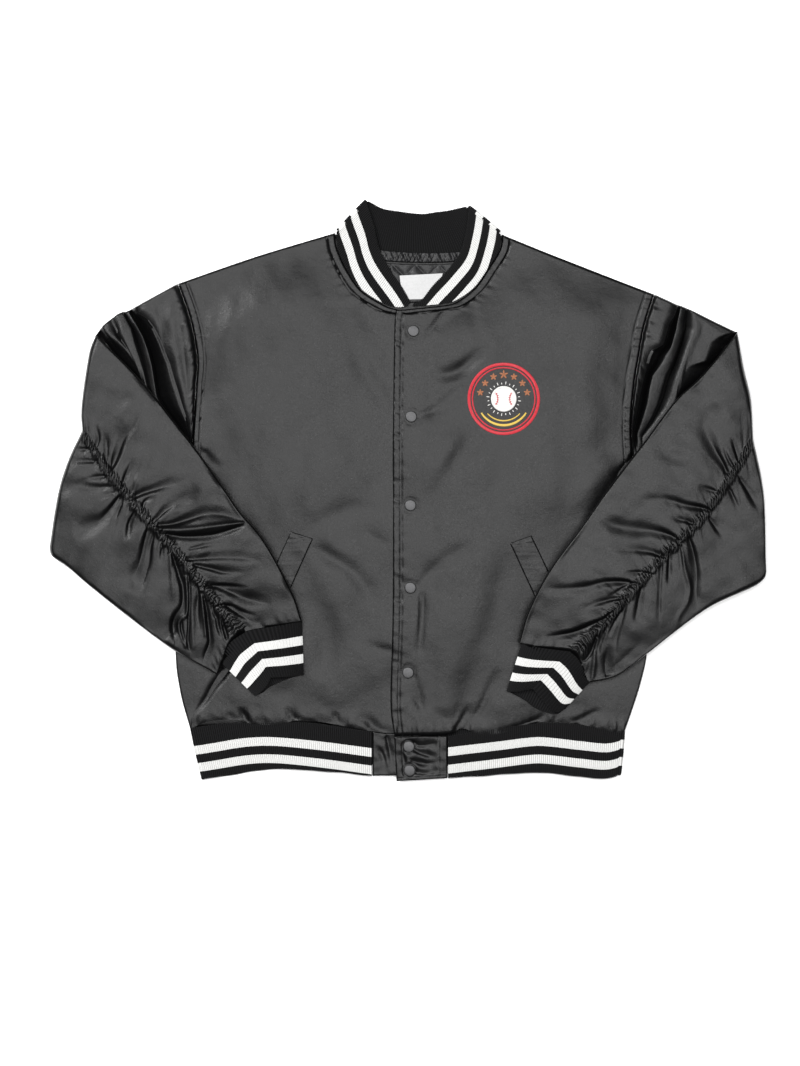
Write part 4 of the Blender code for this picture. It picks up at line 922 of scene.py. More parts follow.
def under_sleeve(grid, side):
    """How far inside the folded sleeve's outline a point lies, below 0 outside it."""
    sleeve = SLEEVE[side]
    back_up = [sleeve[edge][::-1] for edge in ("underarm", "fold_low", "fold")]
    runs = [sleeve["over_body"], sleeve_cuff_seam(side), *back_up]
    ring = np.vstack([along([run], shares(30)) for run in runs])
    ring = np.vstack([ring, ring[:1]])
    gap = np.abs(beside_line(grid, ring[np.r_[True, np.hypot(*np.diff(ring, axis=0).T) > 1e-6]]))
    x, y = grid[..., 0], grid[..., 1]
    inside = np.zeros(x.shape, bool)
    for (x0, y0), (x1, y1) in zip(ring[:-1], ring[1:]):
        if y0 != y1:
            inside ^= ((y0 > y) != (y1 > y)) & (x < (x1 - x0) * (y - y0) / (y1 - y0) + x0)
    return np.where(inside, gap, -gap)


def past_sleeve(grid, side):
    """How far a point lies from the edge of the sleeve folded over the front, above 0 towards the collar."""
    edge = along([SLEEVE[side]["over_body"]], shares(60))
    ends = edge[0] + 20 * (edge[0] - edge[1]), edge[-1] + 20 * (edge[-1] - edge[-2])
    gap = beside_line(grid, np.vstack([ends[0], edge, ends[1]]))
    return gap if side == "right" else -gap


FRONT_ROWS_SIDE = 132
FRONT_ROWS_NECK = 88
FRONT_COLUMNS = 100
FRONT_EDGE = BACK_TOP + 0.5


def front_grid(side):
    edge = OUTLINE[side]
    outer = joined((edge["side"], FRONT_ROWS_SIDE), (edge["armhole"], FRONT_ROWS_SIDE))
    inner = joined((edge["centre"], 2 * FRONT_ROWS_SIDE - FRONT_ROWS_NECK), (edge["neck"], FRONT_ROWS_NECK))
    stations = crowded(FRONT_COLUMNS, 4.0, 4.0, 0.028)
    hem, shoulder = along([edge["hem_seam"]], stations), along([edge["shoulder"]], stations)
    if side == "left":
        outer, inner, shoulder = inner, outer, along([edge["shoulder"][::-1]], stations)
    return inset(patch(hem, shoulder, outer, inner, None, stations), SEAM_GAP)


def front_level(grid, side):
    """The front's smooth outer face: crowned where no sleeve presses on it, and lapped at the placket."""
    from_hem, from_shoulder, from_left, from_right = from_edges(grid)
    open_share = smooth_step(10, 80, past_sleeve(grid, side))
    crown = FRONT_CROWN_COVERED + (FRONT_CROWN_OPEN - FRONT_CROWN_COVERED) * open_share
    flat_neck = smooth_step(0, 85, from_shoulder) * smooth_step(0, 40, from_hem)
    sides = smooth_step(0, 75, from_left) * smooth_step(0, 75, from_right)
    level = FRONT_BASE + crown * flat_neck * sides
    below_neck = 1.0 - smooth_step(236, 250, grid[..., 1])
    if side == "left":
        over = 1.0 - smooth_step(20, 95, grid[..., 0])
        level = np.maximum(level, FRONT_BASE + PLACKET_LIFT * over * below_neck)
    else:
        under = smooth_step(-130, -26, grid[..., 0]) * below_neck
        level = FRONT_BASE + (level - FRONT_BASE) * (1.0 - under)
    return level + FRONT_WALL


SNAPS = range(1, 8)
SNAP_DIMPLE = 1.3
# How hard each folded sleeve presses on the front beside it, and how far from it that is felt.
SLEEVE_PRESS = {"right": (0.9, 5), "left": (1.9, 9)}
# Between the small tucks along each armhole.
TUCK_SPACING = {"right": 19, "left": 12}


def snap_place(number):
    """The x and y of a snap's middle in the frame, in metres."""
    low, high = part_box(f"snap_{number}")
    return (low[0] + high[0]) / 2, (low[1] + high[1]) / 2


def drawn_round_snaps(grid):
    """How deep the cloth is drawn in, in a narrow ring round each snap cap."""
    radius = bpy.context.scene.jacket_sizes.snap / MM / 2
    depth = np.zeros(grid.shape[:2])
    for number in SNAPS:
        x, y = snap_place(number)
        gap = np.hypot(grid[..., 0] - x / MM, grid[..., 1] - y / MM)
        depth += SNAP_DIMPLE * bump(gap, radius + 0.9, 1.4)
    return depth


def front_surface(grid, side, inset_by):
    """The front's outer face: its level, its folds and the relief beside each of its seams."""
    from_hem, from_shoulder, from_left, from_right = from_edges(grid)
    from_outer, from_inner, columns = from_left, from_right, (0, -1)
    if side == "left":
        from_outer, from_inner, columns = from_right, from_left, (-1, 0)
    level = front_level(grid, side)
    rows = np.arange(len(grid))[:, None]
    beside_body = 1.0 - smooth_step(FRONT_ROWS_SIDE - 6, FRONT_ROWS_SIDE + 6, rows)
    neck_start = 2 * FRONT_ROWS_SIDE - FRONT_ROWS_NECK
    at_neck = smooth_step(neck_start - 2, neck_start + 3, rows) * np.ones_like(level)
    covered = under_sleeve(grid, side)
    height = folds(grid, FRONT_FOLDS) * (1 - smooth_step(0, 18, covered))
    press, reach = SLEEVE_PRESS[side]
    height -= press * np.exp(np.minimum(covered, 0) / reach)
    seed = 11 if side == "right" else 12
    inside = smooth_step(14, 50, from_inner) * smooth_step(14, 40, from_outer)
    height += 1.0 * ripples(grid, 150, seed) * smooth_step(0, 40, from_hem)
    height += 0.27 * ripples(grid, 52, seed + 5) * inside
    # The armhole: a raised, topstitched seam allowance with small tucks.
    along_outer, along_inner = (lengths_along(grid[:, column]) for column in columns)
    armhole = 1.0 - beside_body
    strip = smooth_step(0.5, 3, from_outer) * (1 - smooth_step(inset_by - 1.5, inset_by, from_outer))
    height += armhole * (0.7 * strip - 1.0 * bump(from_outer, inset_by, 1.1) - 1.6 * bump(from_outer, 0, 1.4))
    slanted = along_outer + 0.35 * from_outer
    height += armhole * strip * tucks(slanted, seed + 20, TUCK_SPACING[side], 1.0, 1.4)
    drawn = 0.24 * wander(along_outer, 42, seed + 3) * smooth_step(inset_by, inset_by + 4, from_outer)
    height += armhole * drawn * np.exp(-from_outer / 26) * 1.3
    # The neck seam's topstitched band.
    band = smooth_step(0.4, 3, from_inner) * (1 - smooth_step(inset_by - 2, inset_by, from_inner))
    height += at_neck * (0.9 * band - 1.2 * bump(from_inner, inset_by, 1.1) - 0.9 * bump(from_inner, 0, 1.0))
    height += at_neck * band * tucks(along_inner + 0.5 * from_inner, seed + 40, 16, 0.5, 1.2)
    height += at_neck * 0.22 * wander(along_inner, 13, seed + 7) * bump(from_inner, inset_by + 3, 7)
    # The placket's stitched edge.
    if side == "left":
        placket = (1.0 - at_neck) * smooth_step(0.3, 1.6, from_inner)
        strip = 1 - smooth_step(inset_by - 2, inset_by, from_inner)
        height += placket * (-1.4 * bump(from_inner, inset_by - 0.5, 1.2))
        height += placket * strip * tucks(along_inner + 0.1 * from_inner, seed + 60, 21, 1.5, 1.5)
        height += placket * 0.35 * wander(along_inner, 15, seed + 9) * bump(from_inner, inset_by, 7)
        height -= (1.0 - at_neck) * 2.4 * (1 - rounded(from_inner, 2.4))
        height -= drawn_round_snaps(grid)
    # The hem, drawn in by the rib so that the satin bulges over it.
    along_hem = np.abs(grid[..., 0])
    gathers = wander(along_hem, 17, seed + 13) + 0.5 * wander(along_hem, 7, seed + 14)
    height += bump(from_hem, 8, 10) + 0.55 * gathers * bump(from_hem, 2, 13) * smooth_step(0, 4, from_hem)
    surface = level + height
    surface = HEM_TOP + (surface - HEM_TOP) * full_edge(from_hem, 3.5)
    roll = beside_body * (1 - full_edge(from_outer, 3)) + (1 - full_edge(from_shoulder, 3))
    return surface - (surface - FRONT_EDGE) * np.clip(roll, 0, 1)


class JACKET_OT_fronts(Operator):
    """The two fronts, with their placket, topstitched seams and soft folds"""

    bl_idname = "jacket.fronts"
    bl_label = "Fronts"

    def execute(self, context):
        sizes = context.scene.jacket_sizes
        for side in ("right", "left"):
            grid = front_grid(side)
            points = lifted(grid, front_surface(grid, side, sizes.topstitch_inset / MM))
            piece = sheet_of(f"satin_front_{side}", points, flat_map(grid), sizes.wall)
            dress(piece, shell_satin(context), "satin", f"front_{side}")
        return {"FINISHED"}


# Between the back's upper side and what lies on it.
BACK_CLEARANCE = 0.1


class JACKET_OT_back(Operator):
    """The back panel, flat on the surface under everything else"""

    bl_idname = "jacket.back"
    bl_label = "Back"

    def execute(self, context):
        right, left = OUTLINE["right"], OUTLINE["left"]
        stations = crowded(90, 1.5, 1.5, 0.03)
        collar_end = along([right["shoulder"], BACK_NECK[1:-1], left["shoulder"][::-1]], stations)
        hem_end = along([BACK_HEM_SEAM], stations)
        sides = [joined((body["side"], 45), (body["armhole"], 45)) for body in (right, left)]
        grid = inset(patch(hem_end, collar_end, *sides, None, stations), SEAM_GAP)
        edge = np.minimum.reduce([rounded(distance, 1.5) for distance in from_edges(grid)])
        half = BACK_TOP / 2 - BACK_CLEARANCE
        top = lifted(grid, half + BACK_CLEARANCE + half * edge)
        points = side_by_side(top, lifted(grid, half - half * edge)[:, ::-1])
        uv = side_by_side(flat_map(grid), flat_map(grid)[:, ::-1])
        piece = sheet_of("satin_back", points, uv, ring=True, caps=True)
        dress(piece, shell_satin(context), "satin", "back_panel")
        return {"FINISHED"}


# Sleeves


# The height of the folds as a share of their table's, and of those below the ruched seam as a share of that.
FOLD_SCALE = 0.7
UNDER_SHARE = {"right": 0.85, "left": 0.8}
# How far a fold may stand above the sleeve's crest.
HIGHEST_FOLD = 7
SLEEVE_ROWS = 440
OVER_COLUMNS = 66
UNDER_COLUMNS = 54
# Radii of the rolled long edges, of the fold and of the underside's edge.
LIP = 3.0
FOLD_LIP = 10.0
UNDERCUT = 9.0
# The share of a sleeve's height at which its sides stand out most.
WIDEST_AT = 0.4
# How much of its rise the tight roll takes, and how far in the rest reaches.
LIP_SHARE = 0.8
CROWN_REACH = 60.0
ELBOW_ROUNDING = 3.5
ELBOW_REACH = 13


def cuff_split(side):
    """The share of the cuff's seam, from its over-body end, at which the ruched seam meets it."""
    fine = along([sleeve_cuff_seam(side)], shares(101))
    return float(np.argmin(np.hypot(*(fine - SLEEVE[side]["ruched_seam"][-1]).T)) / 100)


def folded_grid(side):
    """The lower sleeve as one flat sheet, from its edge over the body to the underarm."""
    outline = SLEEVE[side]
    stations = crowded(SLEEVE_ROWS, 1.2, 0.8, 0.03)
    over = along([outline["over_body"]], stations)
    seam = along([outline["ruched_seam"]], stations)
    under = along([outline["underarm"]], stations)
    cuff = sleeve_cuff_seam(side)
    split = cuff_split(side)
    upper = crowded(OVER_COLUMNS, 3.0, 3.2, 0.07)
    lower = crowded(UNDER_COLUMNS, 3.2, 2.6, 0.09)
    upper_cuff = along([cuff], split * upper)
    lower_cuff = along([cuff], split + (1 - split) * lower)
    seam[-1] = upper_cuff[-1]
    top = patch(along([outline["fold"]], upper), upper_cuff, over, seam, stations, upper)
    low = patch(along([outline["fold_low"]], lower), lower_cuff, seam, under, stations, lower)
    grid = np.concatenate([top, low[:, 1:]], axis=1)
    if side == "left":
        return grid
    # The elbow's corner is rounded off, towards a point well inside it.
    gap = np.hypot(*(grid - grid[0, -1]).transpose(2, 0, 1))[..., None]
    inward = grid[80, -12] - grid[0, -1]
    return grid + inward / hypot(*inward) * ELBOW_ROUNDING * np.clip(1 - gap / ELBOW_REACH, 0, 1) ** 2


def full_edge(distance, radius):
    """Like rounded, but fuller: nearly upright at the edge and soon level."""
    t = np.clip(distance / radius, 0.0, 1.0)
    return (1.0 - (1.0 - t) ** 3) ** 0.5


def edge_profile(distance, lip):
    """A tight roll at the edge and then a slow rise to the crown."""
    slow = 1 - (1 - np.clip(distance / CROWN_REACH, 0, 1)) ** 2
    return LIP_SHARE * full_edge(distance, lip) + (1 - LIP_SHARE) * slow


def sleeve_floor(grid, side, from_over, from_under, from_fold):
    """The level on which the lower sleeve lies, down to the surface at its outer edges."""
    outward = -grid[..., 0] if side == "right" else grid[..., 0]
    body_edge = max(abs(x) for x, y in OUTLINE[side]["side"])
    over_body = 1.0 - smooth_step(body_edge - 38, body_edge - 4, outward)
    on_top = SLEEVE_BASE + OVER_WELT_LIFT * over_body
    share = from_over / np.maximum(from_over + from_under, 1e-6)
    off_body = smooth_step(body_edge + 3, body_edge + 25, outward)
    lower = (1.0 - smooth_step(0, 7, from_under)) * (share > 0.5)
    level = on_top - (SLEEVE_BASE - SEAM_GAP) * off_body * lower
    at_fold = (1.0 - smooth_step(0, 6, from_fold)) * smooth_step(15, 45, from_over)
    return level - (level - SEAM_GAP) * at_fold


# The gathers beside the ruched seam: pitch, depth, where they start, how far they reach, and a seed's step.
RUCHE_WAVES = ((8.0, 0.6, 5, 12, 3), (13.0, 0.8, 7, 20, 4), (24.0, 1.1, 9, 36, 5))


def ruching(station, from_seam, pitch, height, gathered, seed):
    """Fine puffs crowded along the seam, with narrow wavy slits between them, and short gathers beyond."""
    side = np.where(from_seam > 0, 1.0, -1.0)
    reach = np.abs(from_seam)
    waved = 0.9 * np.sin(from_seam * 2 * pi / 13 + 2.5 * wander(station, 37, seed)) + 0.15 * from_seam
    turned = station + waved + 1.2 * wander(station, 23, seed + 1)
    puff = 1 - np.abs(2 * (turned / pitch % 1.0) - 1) ** 3
    size = height * (0.95 + 0.2 * wander(station + waved, 16, seed + 2))
    at_cuff = smooth_step(-45, 0, station - station.max())
    band = 7.0 + 1.5 * wander(station + 50 * side, 17, seed + 3) + 3.5 * at_cuff
    total = size * puff * (1 - smooth_step(0, 1, (reach - 0.6 * band) / (0.8 * band)))
    total = total - 0.15 * height * (1 - smooth_step(0, 1.2, reach))
    for wave, depth, start, fade, number in RUCHE_WAVES:
        turned = station + side * (wave * 0.7 + 0.25 * reach)
        turned = turned + wander(station, 3.1 * wave, seed + number) * 0.4 * wave
        turned = turned + reach * 0.2 * wander(station, 60, seed + number + 10)
        tooth = (turned / wave) % 1.0
        fold = np.where(tooth < 0.3, (1 - tooth / 0.3) ** 2, 0.5 - 0.5 * np.cos(pi * (tooth - 0.3) / 0.7))
        share = smooth_step(-0.5, 1.0, wander(station + 50 * side, 2.2 * wave, seed + number + 20))
        depth = depth * gathered * share * np.exp(-((reach / fade) ** 2))
        total = total - depth * fold * smooth_step(0, start, reach)
    return total


def lower_sleeve(side, sizes):
    grid = folded_grid(side)
    seam_column = OVER_COLUMNS - 1
    from_fold, from_cuff, from_over, from_under = from_edges(grid)
    from_seam = from_over[:, seam_column : seam_column + 1] - from_over
    station = from_fold[:, seam_column : seam_column + 1] * np.ones_like(from_over)
    floor = sleeve_floor(grid, side, from_over, from_under, from_fold)
    crest = SLEEVE_CREST_AT_CUFF + (SLEEVE_CREST - SLEEVE_CREST_AT_CUFF) * smooth_step(0, 110, from_cuff)
    from_long = np.minimum(from_over, from_under)
    girth = WIDEST_AT * (crest - floor)
    shape = edge_profile(from_over, LIP) * edge_profile(from_under, LIP) * edge_profile(from_fold, FOLD_LIP)
    smooth = floor + girth + (crest - floor - girth) * shape
    seed = 70 if side == "right" else 90
    height = FOLD_SCALE * folds(grid, SLEEVE_FOLDS[side]) * smooth_step(0, 10, from_cuff)
    height = height * np.where(from_seam > 0, 1.0, UNDER_SHARE[side])
    gathered = 1.0 if side == "right" else np.where(from_seam > 0, 0.6, 0.35)
    pitch, crimp = sizes.ruche_pitch / MM, sizes.ruche_height / MM
    height = height + ruching(station, from_seam, pitch, crimp, gathered, seed)
    height = height + 0.9 * ripples(grid, 95, seed + 1) + 0.3 * ripples(grid, 38, seed + 2)
    height = height + 0.4 * wander(from_over, 14, seed + 5) * bump(from_cuff, 3, 8)
    top = smooth + height * smooth_step(0.5, 7, from_long) * smooth_step(1, 12, from_fold)
    # The end closes down on to the cuff.
    cuff_top = SLEEVE_BASE + OVER_WELT_LIFT + 2 * CUFF_HALF_HEIGHT - 1.0
    top = cuff_top + (top - cuff_top) * (0.1 + 0.9 * rounded(from_cuff, 7))
    highest = crest + HIGHEST_FOLD
    top = np.minimum(top, floor + girth + (highest - floor - girth) * full_edge(from_long, LIP))
    columns = grid.shape[1] - 1
    middle = np.linspace(12, columns - 12, 12).astype(int)
    below = np.unique(np.r_[1, 3, 5, 8, middle, columns - np.r_[8, 5, 3, 1]])
    undercut = floor + girth * (1 - rounded(np.minimum(from_long, from_fold), UNDERCUT))
    return lifted(grid, top), undercut, below


def closed_sleeve(name, outer, undercut, below):
    """A sleeve's outer face, closed by an underside that has these columns alone."""
    bottom = lifted(outer, undercut)[:, below][:, ::-1]
    uv = flat_map(outer)
    uv = side_by_side(uv, uv[:, below][:, ::-1])
    return sheet_of(name, side_by_side(outer, bottom), uv, ring=True, caps=True)


class JACKET_OT_lower_sleeves(Operator):
    """The folded lower sleeves, with the ruched seam down each and the folds that spread from it"""

    bl_idname = "jacket.lower_sleeves"
    bl_label = "Lower sleeves"

    def execute(self, context):
        for side in ("right", "left"):
            outer, undercut, below = lower_sleeve(side, context.scene.jacket_sizes)
            piece = closed_sleeve(f"satin_lower_sleeve_{side}", outer, undercut, below)
            dress(piece, shell_satin(context), "satin", f"sleeve_{side}_over", f"sleeve_{side}_under",
                  f"sleeve_{side}_layers")
        return {"FINISHED"}


WEDGE_ROWS = 230
WEDGE_END = -196.0
OUTER_COLUMNS = 10
# How far down the armhole's seam is sewn, and how fast the cloth turns over the ridges, the last one apart.
SEAM_DIP = 13.5
WEDGE_ROLL = 1.8
LAST_ROLL = 1.25
SLAB_LIP = 4.5
SLAB_EDGE = 4.3


def by_height(points, y):
    """The x of a line that runs downwards, at each y."""
    line = smooth_run(points)
    order = line[:, 1].argsort()
    return np.interp(y, line[order, 1], line[order, 0])


def by_side(points, x):
    line = np.array(points, float)
    order = line[:, 0].argsort()
    return np.interp(x, line[order, 0], line[order, 1])


def wedge_grid(side):
    """The upper sleeve's points: straight runs between its crease lines, from the armhole outwards."""
    body, sleeve = OUTLINE[side], SLEEVE[side]
    rim = [body["shoulder"][0], *sleeve["shoulder_edge"]]
    seam_points = [*body["side"][:-1], *body["armhole"]]
    outer_points = [*sleeve["fold_inside"], *sleeve["under_inside"][1:]]
    down = shares(WEDGE_ROWS) ** 1.4

    def run(top, x_of):
        y = top + (WEDGE_END - top) * down
        return np.column_stack([x_of(y), y])

    seam = run(body["shoulder"][0][1], lambda y: by_height(seam_points, y))
    outer = run(sleeve["shoulder_edge"][-1][1], lambda y: by_height(outer_points, y))
    lines = [np.column_stack([seam, np.full(WEDGE_ROWS, SEAM_DIP)])]
    counts = []
    for columns, *table in WEDGE_LINES[side].values():
        table = np.array(table, float)[::-1]
        y = by_side(rim, table[-1, 1]) + (WEDGE_END - by_side(rim, table[-1, 1])) * down
        x = np.interp(y, table[:, 0], table[:, 1])
        z = np.interp(y, table[:, 0], table[:, 2])
        hidden = y < table[0, 0]
        low, high = by_height(seam_points, y), by_height(outer_points, y)
        start = table[0, 1] - by_height(seam_points, table[0, 0])
        share = start / (by_height(outer_points, table[0, 0]) - by_height(seam_points, table[0, 0]))
        x = np.where(hidden, low + share * (high - low), x)
        z = np.where(hidden, z + (SLAB_TOP - z) * smooth_step(0, 25, table[0, 0] - y), z)
        lines.append(np.column_stack([x, y, z]))
        counts.append(columns)
    lines.append(np.column_stack([outer, np.full(WEDGE_ROWS, SLAB_TOP)]))
    counts.append(OUTER_COLUMNS)
    # The cloth rolls over each ridge and is steepest in the valleys.
    parts = []
    for before, after, columns in zip(lines, lines[1:], counts):
        share = shares(columns + 1)[None, (1 if parts else 0) :]
        step = before[:, None] * (1 - share[..., None]) + after[:, None] * share[..., None]
        if parts:
            low, high = before[:, None, 2], after[:, None, 2]
            power = WEDGE_ROLL if after is not lines[-2] else LAST_ROLL
            eased = np.where(high < low, share**power, 1 - (1 - share) ** power)
            step[..., 2] = low + (high - low) * eased
        parts.append(step)
    return np.concatenate(parts, axis=1), counts[0]


def upper_sleeve(side):
    points, shelf = wedge_grid(side)
    grid = inset(points[..., :2], SEAM_GAP)
    from_start, _, from_seam, from_outer = from_edges(grid)
    top = points[..., 2].copy()
    # The puff beside the armhole rises roundly from the seam and turns down at the shelf's edge.
    high, width = points[:, shelf : shelf + 1, 2], from_seam[:, shelf : shelf + 1]
    flank = from_seam[:, : shelf + 1]
    puff = SEAM_DIP + (high - SEAM_DIP) * rounded(flank, np.clip(0.35 * width, 1, 9))
    top[:, : shelf + 1] = puff - 2.6 * np.clip(1 - (width - flank) / 12, 0, 1) ** 2
    seed = 31 if side == "right" else 33
    shape = folds(grid, WEDGE_FOLDS[side]) + 0.35 * ripples(grid, 60, seed)
    shape += 0.4 * wander(lengths_along(grid[:, 0]), 14, seed + 4) * bump(from_seam, 3, 8)
    top = top + shape * smooth_step(0.5, 5, from_seam) * smooth_step(0, 4, from_outer)
    to_edge = np.minimum(from_outer, from_start)
    top = SLAB_EDGE + (top - SLAB_EDGE) * full_edge(np.minimum(to_edge, 1.6 * from_seam), SLAB_LIP)
    columns = grid.shape[1] - 1
    below = np.r_[1, np.linspace(4, columns - 6, 10).astype(int), columns - np.array([4, 2, 1])]
    undercut = SLAB_EDGE * (1 - rounded(to_edge, SLAB_EDGE))
    return lifted(grid, top), undercut, below


class JACKET_OT_upper_sleeves(Operator):
    """The upper sleeves beside the body, with the deep folds where the sleeve turns in"""

    bl_idname = "jacket.upper_sleeves"
    bl_label = "Upper sleeves"

    def execute(self, context):
        for side in ("right", "left"):
            top, undercut, below = upper_sleeve(side)
            piece = closed_sleeve(f"satin_upper_sleeve_{side}", top, undercut, below)
            dress(piece, shell_satin(context), "satin", f"sleeve_{side}_upper")
        return {"FINISHED"}


# Rib


def rib_profile(station, pitch):
    """Rounded ribs with narrow valleys, from -1 to 1."""
    return 2 * np.abs(np.sin(pi * station / pitch)) ** 0.6 - 1


def rib_rows(length, pitch):
    """How many rows give each rib four, so that every crest and valley is met."""
    return 4 * max(2, round(length / pitch))


BAND_CROWN = 0.5


def band_sections(outline, front_level, wall, edge_rib):
    """Sections of a doubled band that lies folded: its front ends on top and its back on the surface."""
    back_level = wall / 2
    centre, radius = (front_level - wall / 2 + back_level) / 2, (front_level - wall / 2 - back_level) / 2
    reach = radius + wall / 2
    face = shares(17)
    lip = np.linspace(pi / 2, -pi / 2, 7)[1:-1]
    quarter = pi / 2
    found = []

    def section(seam, free, angle, outward, pull, plain):
        seam, free = seam - outward * pull, free - outward * pull
        width = hypot(*(free - seam))
        way = np.array([*((free - seam) / width), 0.0])
        normal = np.array([*(outward * cos(angle)), sin(angle)])
        base = np.array([*(seam + outward * radius * cos(angle)), centre + radius * sin(angle)])
        flat = width - wall / 2
        points, pushes, places = [], [], []
        for share in face:
            crown = BAND_CROWN * sin(pi * share)
            points.append(base + way * flat * share + normal * (wall / 2 + crown))
            pushes.append(normal)
            places.append(width - flat * share - plain)
        for turn in lip:
            push = way * cos(turn) + normal * sin(turn)
            points.append(base + way * flat + push * wall / 2)
            pushes.append(push)
            places.append(-plain)
        for share in face[::-2]:
            points.append(base + way * flat * share - normal * wall / 2)
            pushes.append(-normal)
            places.append(-plain - 1.0 - flat * (1 - share))
        found.append((points, pushes, places))

    for part, count in (("right", 40), ("back", 30), ("left", 40)):
        stations = shares(count)
        seams, frees = along([outline[f"{part}_seam"]], stations), along([outline[f"{part}_free"]], stations)
        angle = -quarter if part == "back" else quarter
        for k, (seam, free) in enumerate(zip(seams, frees)):
            folds_next = k == count - 1 and part != "left"
            at_fold = folds_next or (k == 0 and part != "right")
            line = free - seam
            outward = np.array([-line[1], line[0]]) / hypot(*line)
            if (outward[0] > 0) == (part == "right" or (part == "back" and k < count / 2)):
                outward = -outward
            plain = edge_rib(part, free[0])
            section(seam, free, angle, outward, reach if at_fold else 0.0, plain)
            if folds_next:
                arc = np.linspace(quarter, -quarter, 12)[1:-1]
                for bend in arc if part == "right" else arc[::-1]:
                    section(seam, free, bend, outward, reach, plain)
    return [np.array(values) for values in zip(*found)]


def ribbed_band(name, outline, top, edge_rib, sizes):
    points, pushes, places = band_sections(outline, top, RIB_WALL, edge_rib)
    middle = points.mean(axis=1)
    length = np.r_[0.0, np.cumsum(np.linalg.norm(np.diff(middle, axis=0), axis=1))]
    pitch = sizes.rib_pitch / MM
    where = np.linspace(0, length[-1], rib_rows(length[-1], pitch) + 1)

    def spread(values):
        columns = [np.interp(where, length, column) for column in values.reshape(len(values), -1).T]
        return np.column_stack(columns).reshape(-1, *values.shape[1:])

    points, pushes, places = spread(points), spread(pushes), spread(places)
    pushes /= np.linalg.norm(pushes, axis=2)[..., None]
    ribs = rib_profile(np.arange(len(where)) / 4.0, 1.0)[:, None, None] * sizes.rib_height / MM
    soft = 0.35 * wander(where, 55, 5)[:, None, None]
    shaped = points + pushes * (ribs + soft)
    shaped[..., 2] = np.maximum(shaped[..., 2], 0.05)
    uv = np.dstack([np.broadcast_to(where[:, None], places.shape), places])
    return sheet_of(name, shaped, uv, ring=True, caps=True), shaped


def collar_edge_rib(part, x):
    table = COLLAR_EDGE_RIB["right" if part == "right" or (part == "back" and x < 15) else "left"]
    xs, widths = zip(*sorted(table))
    return float(np.interp(x, xs, widths))


def hem_edge_rib(part, x):
    xs, widths = zip(*HEM_EDGE_RIB)
    return float(np.interp(x, xs, widths))


class JACKET_OT_bands(Operator):
    """The doubled rib collar, and the rib hem that runs round the back too, each with two stripes"""

    bl_idname = "jacket.bands"
    bl_label = "Collar and hem"

    def execute(self, context):
        fronts = ["front_right", "front_left"]
        for name, node_name, outline, top, edge_rib, rests_on in (
            ("rib_collar", "collar", COLLAR, COLLAR_TOP, collar_edge_rib, ["back_panel", *fronts]),
            ("rib_hem", "hem_rib", HEM, HEM_TOP, hem_edge_rib, ["back_panel"]),
        ):
            piece, points = ribbed_band(name, outline, top, edge_rib, context.scene.jacket_sizes)
            dress(piece, knitted_rib(context), "rib", node_name)
        return {"FINISHED"}


# The seam and the mouth of each cuff's upper layer, creased at the corner between its two runs.
CUFF_SEAM_TOP = {
    "right": ([(-241.5, -222), (-236, -211), (-226, -196), (-205, -182)],
              [(-205, -182), (-168, -176), (-135, -170)]),
    "left": ([(149, -199), (170, -204), (211, -209)], [(211, -209), (223, -221), (236, -250)]),
}
CUFF_MOUTH_TOP = {
    "right": ([(-196, -267.5), (-189, -262), (-181, -254), (-175, -243)],
              [(-175, -243), (-154, -242), (-133, -240)]),
    "left": ([(129.4, -261), (146, -260), (163, -257.5)],
             [(163, -257.5), (178, -274), (192, -287), (205, -284)]),
}
CUFF_EDGE_RIB = 15.6
CUFF_LENGTH = 68.0


def creased(runs, spots):
    """Points at these shares along two runs, each of which takes half."""
    first, second = along([runs[0]], np.clip(2 * spots, 0, 1)), along([runs[1]], np.clip(2 * spots - 1, 0, 1))
    return np.where(spots[:, None] < 0.5, first, second)


